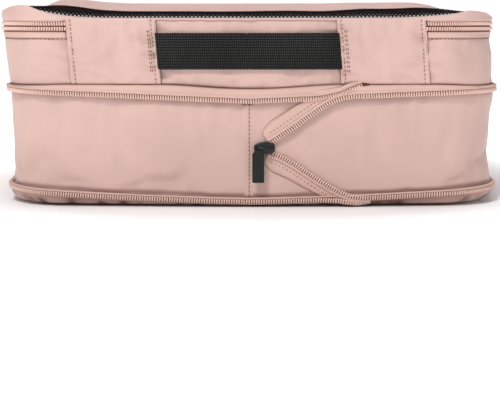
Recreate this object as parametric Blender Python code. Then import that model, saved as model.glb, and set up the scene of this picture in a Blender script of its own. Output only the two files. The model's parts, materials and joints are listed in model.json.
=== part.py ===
"""Compression packing cube with a zipped mesh lid and a webbing handle.

The cube stands on its base, centred on the origin, with its handle side towards -Y.
A lower rim and an upper rim carry the two halves of the compression zip. A folding
gusset joins them, so the upper half of the cube can sink onto the lower rim. The lid
swings up about the top edge of the handle side. All sizes are in metres.
"""

import math

import bmesh
import bpy
from mathutils import Vector

# Plan of the walls, seen from above
LENGTH = 0.345
DEPTH = 0.245
CORNER_RADIUS = 0.042
SIDE_BOW = 0.0025
STRAIGHT_STEP = 0.032
CORNER_STEPS = 5

# Cloth and clearances
FABRIC = 0.0012
TAPE = 0.0006
MESH_CLOTH = 0.0008
GAP = 0.0003
WALL_BULGE = 0.003

# Compression zip: two coils that run round the cube on their tapes
COIL_HEIGHT = 0.0044
COIL_DEPTH = 0.0020
COIL_OUT = 0.0007
TAPE_WIDTH = 0.0063
RIM_SPACING = 0.0649
RIM_LIFT = 0.0060
RIM_LIFT_POWER = 1.6
TAIL_END_X = 0.066
TAIL_START_X = 0.072
TAIL_TAPE_WIDTH = 0.0065

# Base and upper walls
BASE_INSET = 0.014
UPPER_WALL_HEIGHT = 0.0476
PANEL_RAISE = 0.0006
HANDLE_CENTRE_X = -0.0030
HANDLE_LENGTH = 0.1245
HANDLE_WIDTH = 0.0249
HANDLE_THICKNESS = 0.0014
HANDLE_ABOVE_SEAM = 0.0134
PANEL_WIDTH = 0.0620
SEAM_LEAN = 0.004
LAP_CENTRE_X = -0.0018
LAP_HALF_WIDTH = 0.004
BINDING_WIDTH = 0.006
BINDING_OUT = -0.0027

# Main zip between the upper walls and the lid
MAIN_BAND = 0.013
MAIN_COIL_HEIGHT = 0.0029
MAIN_CHAIN_GAP = 0.0014
MAIN_TAPE_BELOW = 0.0037
LID_CROWN = 0.013
CROWN_SKEW = 1.6
WINDOW_SIDE = 0.010
WINDOW_FRONT = 0.005
WINDOW_BACK = 0.050
WINDOW_BINDING_HALF = 0.003
WINDOW_CORNER_STEP = 0.016
LID_ROWS = 4

# Sliders and pull tabs
SLIDER_LENGTH = 0.015
SLIDER_HEIGHT = 0.0097
SLIDER_PLATE = 0.0005
SLIDER_FACE = 0.0010
POST_LENGTH = 0.0020
POST_HEIGHT = 0.0008
BRIDGE_HALF = 0.0070
BRIDGE_BAR = 0.0012
BRIDGE_LEG_SHARE = 0.9
EYE_INNER = 0.0010
EYE_OUTER = 0.0020
EYE_WIDTH = 0.0022
TAB_WIDTH = 0.0080
TAB_LENGTH = 0.0240
TAB_THICKNESS = 0.0015
TAB_SHIFT = -0.0043
PARKED_X = 0.010
PARKED_HEIGHT_SHARE = 0.545
MAIN_SLIDER_X = 0.012

# Values that follow from those above
HALF_X = LENGTH / 2
HALF_Y = DEPTH / 2
FLAT_X = HALF_X - CORNER_RADIUS
FLAT_Y = HALF_Y - CORNER_RADIUS
ARC = math.pi / 2 * CORNER_RADIUS
PERIMETER = 4 * (FLAT_X + FLAT_Y + ARC)
LOWER_COIL_Z = FABRIC + GAP
LOWER_COIL_TOP = LOWER_COIL_Z + COIL_HEIGHT
UPPER_COIL_Z = LOWER_COIL_TOP + RIM_SPACING
UPPER_TAPE_Z = UPPER_COIL_Z + COIL_HEIGHT + GAP
UPPER_TAPE_TOP = UPPER_TAPE_Z + TAPE_WIDTH
WALL_Z = UPPER_TAPE_TOP + GAP
WALL_TOP = WALL_Z + UPPER_WALL_HEIGHT
HINGE_Y = -(HALF_Y + SIDE_BOW + PANEL_RAISE + GAP)
HINGE_Z = WALL_TOP + GAP
WRAP_TOP = HINGE_Z - MAIN_BAND
MAIN_COIL_Z = WRAP_TOP + 2 * GAP + MAIN_TAPE_BELOW
MAIN_CHAIN_Z = MAIN_COIL_Z + MAIN_COIL_HEIGHT + MAIN_CHAIN_GAP / 2
LID_COIL_Z = MAIN_CHAIN_Z + MAIN_CHAIN_GAP / 2
LID_TAPE_Z = LID_COIL_Z + MAIN_COIL_HEIGHT + GAP
HANDLE_LEFT = HANDLE_CENTRE_X - HANDLE_LENGTH / 2
HANDLE_RIGHT = HANDLE_CENTRE_X + HANDLE_LENGTH / 2
PANELS_LEFT = HANDLE_LEFT - PANEL_WIDTH
PANELS_RIGHT = HANDLE_RIGHT + PANEL_WIDTH
PARKED_Z = LOWER_COIL_TOP + RIM_SPACING * PARKED_HEIGHT_SHARE
CHAIN_OUT = COIL_OUT + COIL_DEPTH / 2
WINDOW_RADIUS = CORNER_RADIUS - WINDOW_CORNER_STEP
PIN_OUT = CHAIN_OUT + COIL_DEPTH / 2 + GAP + SLIDER_FACE + GAP + EYE_OUTER

ROSE = (0.75, 0.50, 0.44)
ROSE_COIL = (0.62, 0.38, 0.33)
ROSE_BINDING = (0.66, 0.43, 0.38)
BLACK = (0.02, 0.02, 0.024)
CHARCOAL = (0.03, 0.03, 0.033)


def material(name, colour, roughness, metallic=0.0):
    made = bpy.data.materials.new(name)
    made.use_nodes = True
    shader = made.node_tree.nodes["Principled BSDF"]
    shader.inputs["Base Color"].default_value = (*colour, 1.0)
    shader.inputs["Roughness"].default_value = roughness
    shader.inputs["Metallic"].default_value = metallic
    return made


def frame(name, origin):
    """An empty at a moving piece's joint, which its solids hang from."""
    empty = bpy.data.objects.new(name, None)
    empty.empty_display_size = 0.02
    empty.location = origin
    bpy.context.scene.collection.objects.link(empty)
    return empty


def mesh_of(name, points, faces):
    mesh = bpy.data.meshes.new(name)
    mesh.from_pydata([tuple(p) for p in points], [], faces)
    work = bmesh.new()
    work.from_mesh(mesh)
    bmesh.ops.recalc_face_normals(work, faces=work.faces)
    work.to_mesh(mesh)
    work.free()
    mesh.shade_smooth()
    mesh.set_sharp_from_angle(angle=math.radians(40))
    return mesh


def place(name, mesh, looks, parent, location=(0, 0, 0), turn=0.0):
    """Puts a mesh under its frame with a colour of its own."""
    made = bpy.data.objects.new(name, mesh)
    made.parent = parent
    made.location = location
    made.rotation_euler = (0, 0, turn)
    if not mesh.materials:
        mesh.materials.append(material(name, *looks))
    bpy.context.scene.collection.objects.link(made)
    return made


def solid(name, points, faces, looks, parent):
    """A solid whose points are given in the cube's own frame."""
    local = [Vector(p) - parent.location for p in points]
    return place(name, mesh_of(name, local, faces), looks, parent)


def rise(x):
    """How far the rims lift away from the middle of the front."""
    return RIM_LIFT * min(1.0, abs(x) / HALF_X) ** RIM_LIFT_POWER


def at(run):
    """The wall's point and outward direction at a distance run round the plan.

    The back is straight, so that the main sliders run true, and the other sides bow out.
    """
    left = run % PERIMETER
    bow = 0.0
    if left < FLAT_X or left > PERIMETER - FLAT_X:
        x = left if left < FLAT_X else left - PERIMETER
        bow = SIDE_BOW * (1 - (x / FLAT_X) ** 2)
        return Vector((x, -HALF_Y - bow)), Vector((0, -1))
    left -= FLAT_X
    for quarter, flat in enumerate((FLAT_Y, FLAT_X, FLAT_Y, FLAT_X)):
        turn = quarter * math.pi / 2
        across = (FLAT_X, FLAT_Y)[quarter % 2]
        if left <= ARC:
            angle = turn - math.pi / 2 + left / CORNER_RADIUS
            centre = Vector((FLAT_X * (1, 1, -1, -1)[quarter], FLAT_Y * (-1, 1, 1, -1)[quarter]))
            normal = Vector((math.cos(angle), math.sin(angle)))
            return centre + normal * CORNER_RADIUS, normal
        left -= ARC
        if left <= 2 * flat:
            shift = left - flat
            if quarter != 1:
                bow = SIDE_BOW * (1 - (shift / flat) ** 2)
            normal = Vector((math.cos(turn), math.sin(turn)))
            tangent = Vector((-normal.y, normal.x))
            out = across + CORNER_RADIUS + bow
            return normal * out + tangent * shift, normal
        left -= 2 * flat
    raise ValueError(run)


def stops(start, end):
    """Distances round the plan between two ends, closer together on the corners."""
    lengths = [FLAT_X, ARC, 2 * FLAT_Y, ARC, 2 * FLAT_X, ARC, 2 * FLAT_Y, ARC, FLAT_X]
    marks = []
    passed = 0.0
    for index, length in enumerate(lengths):
        steps = CORNER_STEPS if index % 2 else max(1, round(length / STRAIGHT_STEP))
        marks += [passed + length * k / steps for k in range(steps)]
        passed += length
    every = [mark + lap * PERIMETER for lap in (-1, 0, 1) for mark in marks]
    margin = STRAIGHT_STEP * 0.1
    inside = [m for m in every if start + margin < m < end - margin]
    return [start, *inside, end]


def lean(x, y, z):
    """Sideways shift that tilts the seams of the handle side."""
    if y > -HALF_Y + CORNER_RADIUS:
        return 0.0
    fade = max(0.0, min(1.0, (HALF_X - abs(x)) / CORNER_RADIUS))
    depth = max(0.0, min(1.0, (WALL_TOP - z) / UPPER_WALL_HEIGHT))
    return SEAM_LEAN * depth * fade


def strip(name, profile, looks, parent, start=0.0, end=PERIMETER, leans=False):
    """Sweeps a profile along the walls.

    The profile is a loop of (out, height, share of the rim's lift).
    """
    closed = abs(end - start - PERIMETER) < 1e-9
    runs = stops(start, end)
    if closed:
        runs = runs[:-1]
    points = []
    for run in runs:
        spot, normal = at(run)
        for out, height, share in profile:
            flat = spot + normal * out
            z = height + rise(spot.x) * share
            shift = lean(flat.x, flat.y, z) if leans else 0.0
            points.append((flat.x + shift, flat.y, z))
    size = len(profile)
    count = len(runs)
    faces = []
    for i in range(count if closed else count - 1):
        here = i * size
        there = (i + 1) % count * size
        for k in range(size):
            after = (k + 1) % size
            faces.append((here + k, here + after, there + after, there + k))
    if not closed:
        faces.append(tuple(range(size)))
        faces.append(tuple(range((count - 1) * size, count * size)))
    return solid(name, points, faces, looks, parent)


def band(inner_low, outer_low, outer_high, inner_high):
    """A four-sided profile whose points all take the rim's whole lift."""
    corners = (inner_low, outer_low, outer_high, inner_high)
    return [(out, height, 1.0) for out, height in corners]


def coil_profile(low, height, share=1.0):
    """A six-sided coil section, thickest in the middle of its height."""
    chamfer = COIL_DEPTH * 0.25
    inside = COIL_OUT
    outside = COIL_OUT + COIL_DEPTH
    loop = [
        (inside, low),
        (outside - chamfer, low),
        (outside, low + height / 2),
        (outside - chamfer, low + height),
        (inside, low + height),
    ]
    return [(out, z, share) for out, z in loop]


def wall_profile(low, high, out, bulge):
    """A wall one cloth thick that bulges outwards half way up."""
    middle = (low + high) / 2
    loop = [
        (out, low, 1.0),
        (out + bulge, middle, 0.5),
        (out, high, 0.0),
        (out - FABRIC, high, 0.0),
        (out + bulge - FABRIC, middle, 0.5),
        (out - FABRIC, low, 1.0),
    ]
    return loop


def plate(name, inset, low, high, looks, parent):
    """A flat plate that follows the plan a fixed distance inside the walls."""
    ring = [spot - normal * inset for spot, normal in map(at, stops(0, PERIMETER)[:-1])]
    count = len(ring)
    points = [(p.x, p.y, z) for z in (low, high) for p in ring]
    faces = [(k, (k + 1) % count, count + (k + 1) % count, count + k) for k in range(count)]
    faces.append(tuple(range(count)))
    faces.append(tuple(range(count, 2 * count)))
    return solid(name, points, faces, looks, parent)


def front_y(x, out):
    spot, _ = at(x)
    return spot.y - out


def front_prism(name, outline, inside, outside, looks, parent):
    """A flat piece on the handle side, drawn as an (x, z) outline."""
    points = [(x, front_y(x, out), z) for out in (inside, outside) for x, z in outline]
    count = len(outline)
    faces = [(k, (k + 1) % count, count + (k + 1) % count, count + k) for k in range(count)]
    faces.append(tuple(range(count)))
    faces.append(tuple(range(count, 2 * count)))
    return solid(name, points, faces, looks, parent)


# The lid


def crown(x, y):
    """Height of the lid's crown over its edge."""
    across = min(1.0, abs(x) / HALF_X)
    along = min(1.0, max(0.0, (y + HALF_Y) / DEPTH))
    return LID_CROWN * (1 - across**4) * math.sin(math.pi * along**CROWN_SKEW)


def lid_edge():
    """The lid's outline, which stays just behind its hinge at the front."""
    return [spot - normal * GAP for spot, normal in map(at, stops(0, PERIMETER)[:-1])]


def window_edge(grow):
    """The mesh window's outline, moved outwards by grow, point for point with the lid's."""
    low = Vector((-HALF_X + WINDOW_SIDE - grow, -HALF_Y + WINDOW_FRONT - grow))
    high = Vector((HALF_X - WINDOW_SIDE + grow, HALF_Y - WINDOW_BACK + grow))
    middle = (low + high) / 2
    half = (high - low) / 2
    ring = []
    for run in stops(0, PERIMETER)[:-1]:
        spot, normal = at(run)
        centre = spot - normal * CORNER_RADIUS
        share = Vector((centre.x / FLAT_X, centre.y / FLAT_Y))
        core = Vector((max(-1, min(1, share.x)), max(-1, min(1, share.y))))
        radius = WINDOW_RADIUS + grow
        flat = Vector((half.x - radius, half.y - radius))
        ring.append(middle + core * flat + normal * radius)
    return ring


def sheet_between(name, outer, inner, rows, low, thickness, looks, parent):
    """A cloth ring between two outlines that follows the lid's crown."""
    points = []
    for side in (0.0, thickness):
        for row in range(rows + 1):
            for a, b in zip(outer, inner):
                spot = a.lerp(b, row / rows)
                points.append((spot.x, spot.y, low + side + crown(spot.x, spot.y)))
    count = len(outer)
    layer = (rows + 1) * count
    faces = []
    for row in range(rows):
        for k in range(count):
            after = (k + 1) % count
            low_row = row * count
            high_row = low_row + count
            patch = (low_row + k, low_row + after, high_row + after, high_row + k)
            faces.append(patch)
            faces.append(tuple(layer + index for index in patch))
    for start in (0, rows * count):
        for k in range(count):
            after = (k + 1) % count
            faces.append((start + k, start + after, layer + start + after, layer + start + k))
    return solid(name, points, faces, looks, parent)


def window_sheet(name, outline, rows, low, thickness, looks, parent):
    """A cloth disc inside an outline that follows the lid's crown."""
    middle = sum(outline, Vector((0, 0))) / len(outline)
    count = len(outline)
    points = []
    for side in (0.0, thickness):
        for row in range(rows):
            for edge in outline:
                spot = edge.lerp(middle, row / rows)
                points.append((spot.x, spot.y, low + side + crown(spot.x, spot.y)))
        points.append((middle.x, middle.y, low + side + crown(middle.x, middle.y)))
    layer = rows * count + 1
    faces = []
    for base in (0, layer):
        for row in range(rows - 1):
            for k in range(count):
                after = (k + 1) % count
                here = base + row * count
                faces.append((here + k, here + after, here + count + after, here + count + k))
        last = base + (rows - 1) * count
        for k in range(count):
            faces.append((last + k, last + (k + 1) % count, base + layer - 1))
    for k in range(count):
        after = (k + 1) % count
        faces.append((k, after, layer + after, layer + k))
    return solid(name, points, faces, looks, parent)


# Sliders and pull tabs, modelled with the chain along X and the outside towards -Y


def box(low, high):
    points = [(x, y, z) for x in (low[0], high[0]) for y in (low[1], high[1]) for z in (low[2], high[2])]
    faces = [(0, 1, 3, 2), (4, 5, 7, 6), (0, 1, 5, 4), (2, 3, 7, 6), (0, 2, 6, 4), (1, 3, 7, 5)]
    return points, faces


def rounded(half_x, half_z, radius, centre_z=0.0, steps=3):
    """A rounded rectangle as (x, z) points."""
    outline = []
    for quarter, (sx, sz) in enumerate(((1, 1), (-1, 1), (-1, -1), (1, -1))):
        for k in range(steps + 1):
            angle = math.pi / 2 * (quarter + k / steps)
            x = sx * (half_x - radius) + radius * math.cos(angle)
            z = sz * (half_z - radius) + radius * math.sin(angle)
            outline.append((x, centre_z + z))
    return outline


def slab(outline, near, far):
    """A flat shape in the XZ plane between two distances towards -Y."""
    count = len(outline)
    points = [(x, -depth, z) for depth in (near, far) for x, z in outline]
    faces = [(k, (k + 1) % count, count + (k + 1) % count, count + k) for k in range(count)]
    faces.append(tuple(range(count)))
    faces.append(tuple(range(count, 2 * count)))
    return points, faces


def eye(inner, outer, half_width, steps=12):
    """A ring round the X axis."""
    points = []
    for radius in (inner, outer):
        for x in (-half_width, half_width):
            for k in range(steps):
                angle = math.tau * k / steps
                points.append((x, radius * math.cos(angle), radius * math.sin(angle)))
    faces = []
    for first, second in ((0, 1), (2, 3), (0, 2), (1, 3)):
        for k in range(steps):
            after = (k + 1) % steps
            a = first * steps
            b = second * steps
            faces.append((a + k, a + after, b + after, b + k))
    return points, faces


def fused(name, shapes):
    """One mesh that unites overlapping closed shapes."""
    pieces = []
    for points, faces in shapes:
        piece = bpy.data.objects.new(name, mesh_of(name, points, faces))
        bpy.context.scene.collection.objects.link(piece)
        pieces.append(piece)
    for other in pieces[1:]:
        union = pieces[0].modifiers.new("union", "BOOLEAN")
        union.operation = "UNION"
        union.solver = "EXACT"
        union.object = other
    seen = pieces[0].evaluated_get(bpy.context.evaluated_depsgraph_get())
    mesh = bpy.data.meshes.new_from_object(seen)
    for piece in pieces:
        bpy.data.objects.remove(piece)
    mesh.set_sharp_from_angle(angle=math.radians(40))
    return mesh


def slider_mesh():
    """Back plate, post between the coils, face plate and the bridge that holds the tab."""
    half_coil = COIL_DEPTH / 2
    back = -half_coil - GAP - SLIDER_PLATE
    face = half_coil + GAP
    face_out = face + SLIDER_FACE
    pin = PIN_OUT - CHAIN_OUT
    bar = BRIDGE_BAR / 2
    leg = bar * BRIDGE_LEG_SHARE
    half_length = SLIDER_LENGTH / 2
    half_height = SLIDER_HEIGHT / 2
    overlap = SLIDER_PLATE / 2
    shapes = [
        slab(rounded(half_length, half_height, 0.0025), face, face_out),
        slab(rounded(half_length, half_height, 0.0025), back, back + SLIDER_PLATE),
        box(
            (-POST_LENGTH / 2, -face - overlap, -POST_HEIGHT / 2),
            (POST_LENGTH / 2, -back - overlap, POST_HEIGHT / 2),
        ),
        box((-BRIDGE_HALF, -pin - bar, -bar), (BRIDGE_HALF, -pin + bar, bar)),
    ]
    for side in (-1, 1):
        inner = side * BRIDGE_HALF
        outer = side * (BRIDGE_HALF - BRIDGE_BAR)
        shapes.append(
            box(
                (min(inner, outer), -pin - leg, -leg),
                (max(inner, outer), -face_out + overlap, leg),
            )
        )
    return fused("slider", shapes)


def tab_mesh():
    """A flat tab that hangs from an eye round the slider's bridge."""
    half = (TAB_LENGTH - EYE_OUTER) / 2
    centre = -EYE_INNER - (EYE_OUTER - EYE_INNER) / 2 - half
    shapes = [
        slab(rounded(TAB_WIDTH / 2, half, 0.0025, centre), -TAB_THICKNESS / 2, TAB_THICKNESS / 2),
        eye(EYE_INNER, EYE_OUTER, EYE_WIDTH / 2),
    ]
    return fused("pull_tab", shapes)


# The cube, body by body


def make_base():
    base = frame("base", (0, 0, 0))
    pink = (ROSE, 0.55)
    plate("base_panel", BASE_INSET + GAP, 0.0, FABRIC, pink, base)
    inner = -BASE_INSET
    skirt = [
        (inner, GAP, 0.0),
        (COIL_OUT - GAP, GAP, 1.0),
        (COIL_OUT - GAP, FABRIC, 1.0),
        (inner, FABRIC, 0.0),
    ]
    strip("base_skirt", skirt, pink, base)
    bound = -BASE_INSET - FABRIC
    low = FABRIC + GAP
    binding = [
        (bound - FABRIC, low, 0.0),
        (bound, low, 0.0),
        (bound, low + BINDING_WIDTH, 0.0),
        (bound - FABRIC, low + BINDING_WIDTH, 0.0),
    ]
    strip("base_seam_binding", binding, (ROSE_BINDING, 0.6), base)
    back = -TAPE - GAP
    wall = band(
        (back - FABRIC, LOWER_COIL_Z),
        (back, LOWER_COIL_Z),
        (back, UPPER_TAPE_TOP),
        (back - FABRIC, UPPER_TAPE_TOP),
    )
    strip("gusset_wall", wall, pink, base)
    left = LAP_CENTRE_X - LAP_HALF_WIDTH
    right = LAP_CENTRE_X + LAP_HALF_WIDTH
    low = LOWER_COIL_Z + COIL_HEIGHT + GAP + rise(left)
    high = UPPER_COIL_Z - GAP
    outline = [(left, low), (right, low), (right, high), (left, high)]
    front_prism("gusset_lap_seam", outline, back + GAP, back + GAP + TAPE, pink, base)
    make_tail(base)


def make_tail(base):
    """The start of the compression zip, from the two rims down to the parked slider."""
    half = COIL_HEIGHT / 2
    near = PARKED_X + POST_LENGTH / 2 + GAP * 5
    for side, word in ((1, "upper"), (-1, "lower")):
        limit = UPPER_COIL_Z + rise(TAIL_END_X) if side > 0 else LOWER_COIL_TOP + rise(TAIL_START_X)
        limit -= side * GAP
        far_z = limit - side * (half + GAP * 2)
        near_z = PARKED_Z + side * (half + GAP * 2)
        start = Vector((near, near_z))
        end = Vector((TAIL_START_X - GAP * 3, far_z))
        along = (end - start).normalized()
        across = Vector((-along.y, along.x)) * side
        coil = [start - across * half, end - across * half, end + across * half, start + across * half]
        outline = [tuple(p) for p in coil]
        low = COIL_OUT
        front_prism(f"tail_coil_{word}", outline, low, low + COIL_DEPTH, (ROSE_COIL, 0.5), base)
        edge = half + GAP
        tape_start = start + across * edge + along * SLIDER_LENGTH / 2
        outer_start = tape_start + across * TAIL_TAPE_WIDTH
        reach = (limit - outer_start.y) / along.y
        outer_end = outer_start + along * reach
        inner_end = tape_start + along * ((limit - tape_start.y) / along.y)
        tape = [tuple(p) for p in (tape_start, inner_end, outer_end, outer_start)]
        front_prism(f"tail_tape_{word}", tape, low + GAP, low + GAP + TAPE, (ROSE, 0.6), base)


def make_lower_rim():
    rim = frame("lower_rim", (0, 0, 0))
    start = TAIL_START_X
    end = PERIMETER + TAIL_END_X
    outside = COIL_OUT + COIL_DEPTH
    tape = band((COIL_OUT, GAP), (outside, GAP), (outside, GAP + TAPE), (COIL_OUT, GAP + TAPE))
    strip("lower_zip_tape", tape, (ROSE, 0.6), rim)
    coil = coil_profile(LOWER_COIL_Z, COIL_HEIGHT)
    strip("lower_zip_coil", coil, (ROSE_COIL, 0.5), rim, start, end)


def make_upper_shell():
    shell = frame("upper_shell", (0, 0, UPPER_COIL_Z))
    pink = (ROSE, 0.55)
    coil = coil_profile(UPPER_COIL_Z, COIL_HEIGHT)
    strip("upper_zip_coil", coil, (ROSE_COIL, 0.5), shell, TAIL_START_X, PERIMETER + TAIL_END_X)
    flare = COIL_OUT + COIL_DEPTH - TAPE
    tape = band(
        (flare, UPPER_TAPE_Z),
        (flare + TAPE, UPPER_TAPE_Z),
        (0.0, UPPER_TAPE_TOP),
        (-TAPE, UPPER_TAPE_TOP),
    )
    strip("upper_zip_tape", tape, (ROSE, 0.6), shell)
    bound = BINDING_OUT - FABRIC
    low = WALL_Z - BINDING_WIDTH / 2
    high = WALL_Z + BINDING_WIDTH / 2
    binding = band((bound, low), (BINDING_OUT, low), (BINDING_OUT, high), (bound, high))
    strip("upper_seam_binding", binding, (ROSE_BINDING, 0.6), shell)
    side = GAP / 2
    wrap = wall_profile(WALL_Z, WRAP_TOP, 0.0, WALL_BULGE)
    strip("wrap_wall", wrap, pink, shell, PANELS_RIGHT + side, PERIMETER + PANELS_LEFT - side, True)
    raised = wall_profile(WALL_Z, WALL_TOP, PANEL_RAISE, WALL_BULGE)
    strip("handle_panel_left", raised, pink, shell, PANELS_LEFT + side, HANDLE_LEFT - side, True)
    strip("handle_panel_right", raised, pink, shell, HANDLE_RIGHT + side, PANELS_RIGHT - side, True)
    recess = -HANDLE_THICKNESS - GAP
    centre = wall_profile(WALL_Z, WALL_TOP, recess + PANEL_RAISE, WALL_BULGE)
    strip("front_centre_panel", centre, pink, shell, HANDLE_LEFT + side, HANDLE_RIGHT - side, True)
    start = PANELS_RIGHT + side
    end = PERIMETER + PANELS_LEFT - side
    low = WRAP_TOP + GAP
    tape = [
        (COIL_OUT, low, 0.0),
        (COIL_OUT + TAPE, low, 0.0),
        (COIL_OUT + TAPE, low + MAIN_TAPE_BELOW, 0.0),
        (COIL_OUT, low + MAIN_TAPE_BELOW, 0.0),
    ]
    strip("main_zip_lower_tape", tape, (ROSE, 0.6), shell, start, end, True)
    coil = coil_profile(MAIN_COIL_Z, MAIN_COIL_HEIGHT, 0.0)
    strip("main_zip_lower_coil", coil, (ROSE_COIL, 0.5), shell, start, end, True)
    high = WALL_TOP - FABRIC
    low = high - BINDING_WIDTH
    bound = recess + PANEL_RAISE - FABRIC - GAP
    hinge = [
        (bound - FABRIC, low, 0.0),
        (bound, low, 0.0),
        (bound, high, 0.0),
        (bound - FABRIC, high, 0.0),
    ]
    strip("hinge_seam_binding", hinge, (ROSE_BINDING, 0.6), shell, PANELS_LEFT, PANELS_RIGHT)
    return shell


def make_handle(shell):
    """Webbing that lies in front of the centre panel, between the two handle panels."""
    handle = frame("handle", (HANDLE_CENTRE_X, -HALF_Y, WALL_Z + HANDLE_ABOVE_SEAM + HANDLE_WIDTH / 2))
    low = WALL_Z + HANDLE_ABOVE_SEAM
    out = PANEL_RAISE + WALL_BULGE
    face = [
        (out - HANDLE_THICKNESS, low, 0.5),
        (out, low, 0.5),
        (out, low + HANDLE_WIDTH, 0.5),
        (out - HANDLE_THICKNESS, low + HANDLE_WIDTH, 0.5),
    ]
    strip("webbing_handle", face, (BLACK, 0.8), handle, HANDLE_LEFT + GAP, HANDLE_RIGHT - GAP, True)


def make_lid():
    lid = frame("lid", (0, HINGE_Y, HINGE_Z))
    low = HINGE_Z + GAP
    pink = (ROSE, 0.55)
    sheet_between("lid_rim", lid_edge(), window_edge(GAP), LID_ROWS, low, FABRIC, pink, lid)
    window_sheet("mesh_window", window_edge(0.0), LID_ROWS, low, MESH_CLOTH, (BLACK, 0.7), lid)
    under = low - GAP - TAPE
    outer = window_edge(WINDOW_BINDING_HALF)
    inner = window_edge(-WINDOW_BINDING_HALF)
    sheet_between("window_binding", outer, inner, 1, under, TAPE, (BLACK, 0.7), lid)
    side = GAP / 2
    start = PANELS_RIGHT + side
    end = PERIMETER + PANELS_LEFT - side
    coil = coil_profile(LID_COIL_Z, MAIN_COIL_HEIGHT, 0.0)
    strip("main_zip_upper_coil", coil, (ROSE_COIL, 0.5), lid, start, end, True)
    tape = [
        (COIL_OUT, LID_TAPE_Z, 0.0),
        (COIL_OUT + TAPE, LID_TAPE_Z, 0.0),
        (COIL_OUT + TAPE, HINGE_Z, 0.0),
        (COIL_OUT, HINGE_Z, 0.0),
    ]
    strip("main_zip_upper_tape", tape, (ROSE, 0.6), lid, start, end, True)


def make_slider(body, slider, tab, x, z, back):
    """A slider and its hanging tab, on the front run or turned round on the back run."""
    turn = math.pi if back else 0.0
    facing = 1 if back else -1
    spot, _ = at(PERIMETER / 2 - x if back else x)
    chain = frame(body, (x, spot.y + facing * CHAIN_OUT, z))
    place(f"{body}_slider", slider, (CHARCOAL, 0.45, 0.6), chain, (0, 0, 0), turn)
    pin = frame(f"{body}_pin", (x - facing * TAB_SHIFT, spot.y + facing * PIN_OUT, z))
    place(f"{body}_pull_tab", tab, (CHARCOAL, 0.5, 0.2), pin, (0, 0, 0), turn)


def build():
    for old in list(bpy.data.objects):
        bpy.data.objects.remove(old)
    make_base()
    make_lower_rim()
    shell = make_upper_shell()
    make_handle(shell)
    make_lid()
    slider = slider_mesh()
    tab = tab_mesh()
    make_slider("compression", slider, tab, PARKED_X, PARKED_Z, False)
    make_slider("main_left", slider, tab, -MAIN_SLIDER_X, MAIN_CHAIN_Z, True)
    make_slider("main_right", slider, tab, MAIN_SLIDER_X, MAIN_CHAIN_Z, True)


build()
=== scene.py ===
# %% [markdown]
# # A compression packing cube
# This lesson dresses the plain solids of a packing cube in cloth, zips and webbing. The solids
# fix every place and every joint. Each step below says what a piece is on the real cube and
# how it is made, and then makes it.

# %% Load the frame
import json
import math

import bmesh
import bpy
import numpy as np
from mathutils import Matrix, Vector, noise

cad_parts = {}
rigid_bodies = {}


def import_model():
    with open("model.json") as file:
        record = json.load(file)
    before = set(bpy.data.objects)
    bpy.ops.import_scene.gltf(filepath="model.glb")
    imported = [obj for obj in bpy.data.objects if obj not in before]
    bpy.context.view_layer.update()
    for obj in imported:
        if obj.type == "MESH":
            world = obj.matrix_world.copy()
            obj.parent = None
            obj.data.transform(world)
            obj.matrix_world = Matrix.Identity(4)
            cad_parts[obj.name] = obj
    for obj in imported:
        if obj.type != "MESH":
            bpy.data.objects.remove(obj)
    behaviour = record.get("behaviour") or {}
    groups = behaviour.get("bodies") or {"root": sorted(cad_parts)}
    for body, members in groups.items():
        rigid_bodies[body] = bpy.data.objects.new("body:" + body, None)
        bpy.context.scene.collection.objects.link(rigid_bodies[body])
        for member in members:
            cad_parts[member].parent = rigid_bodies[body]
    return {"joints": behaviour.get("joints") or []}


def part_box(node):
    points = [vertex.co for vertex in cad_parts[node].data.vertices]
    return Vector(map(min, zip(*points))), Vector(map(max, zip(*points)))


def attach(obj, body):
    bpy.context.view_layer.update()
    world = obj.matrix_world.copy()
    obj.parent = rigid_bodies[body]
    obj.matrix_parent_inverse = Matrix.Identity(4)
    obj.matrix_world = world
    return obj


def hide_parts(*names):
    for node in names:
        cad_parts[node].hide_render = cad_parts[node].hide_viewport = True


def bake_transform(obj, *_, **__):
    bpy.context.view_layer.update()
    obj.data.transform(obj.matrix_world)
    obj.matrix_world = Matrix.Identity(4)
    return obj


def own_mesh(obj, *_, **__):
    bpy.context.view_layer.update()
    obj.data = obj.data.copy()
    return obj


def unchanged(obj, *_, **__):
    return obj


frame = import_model()
given = set(bpy.data.objects)
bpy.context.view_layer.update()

# %% [markdown]
# ## The plan of the cube
# All the cloth follows one outline seen from above: a rectangle with round corners whose
# front and sides bow out a little. A distance run round that outline, and a distance out from
# it, give any point of a wall, so every strip is drawn with the same two numbers. The size of
# the outline is read back from the solids' own boxes.

# %% Read the plan's sizes
MM = 0.001
SIDE_BOW = 2.5 * MM
CORNER = 42 * MM
COIL_PROUD = 2.7 * MM
COIL_TALL = 4.4 * MM
LEAN = 4 * MM
RIM_LIFT = 7.2 * MM
coil_low, coil_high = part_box("upper_zip_coil")
HALF_X = coil_high.x - COIL_PROUD - SIDE_BOW
HALF_Y = coil_high.y - COIL_PROUD
FLAT_X = HALF_X - CORNER
FLAT_Y = HALF_Y - CORNER
ARC = math.pi / 2 * CORNER
ROUND = 4 * (FLAT_X + FLAT_Y + ARC)
LOWER_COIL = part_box("lower_zip_coil")[0].z
UPPER_COIL = coil_low.z
centre_low, centre_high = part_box("front_centre_panel")
SEAM = centre_low.z
TOP = centre_high.z
WRAP_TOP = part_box("wrap_wall")[1].z
HANDLE_LEFT = centre_low.x
HANDLE_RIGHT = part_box("handle_panel_right")[0].x
PANELS_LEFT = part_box("handle_panel_left")[0].x
PANELS_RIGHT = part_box("handle_panel_right")[1].x - LEAN
print(f"plan {HALF_X * 2:.3f} x {HALF_Y * 2:.3f} m, round {ROUND:.3f} m")


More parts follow.
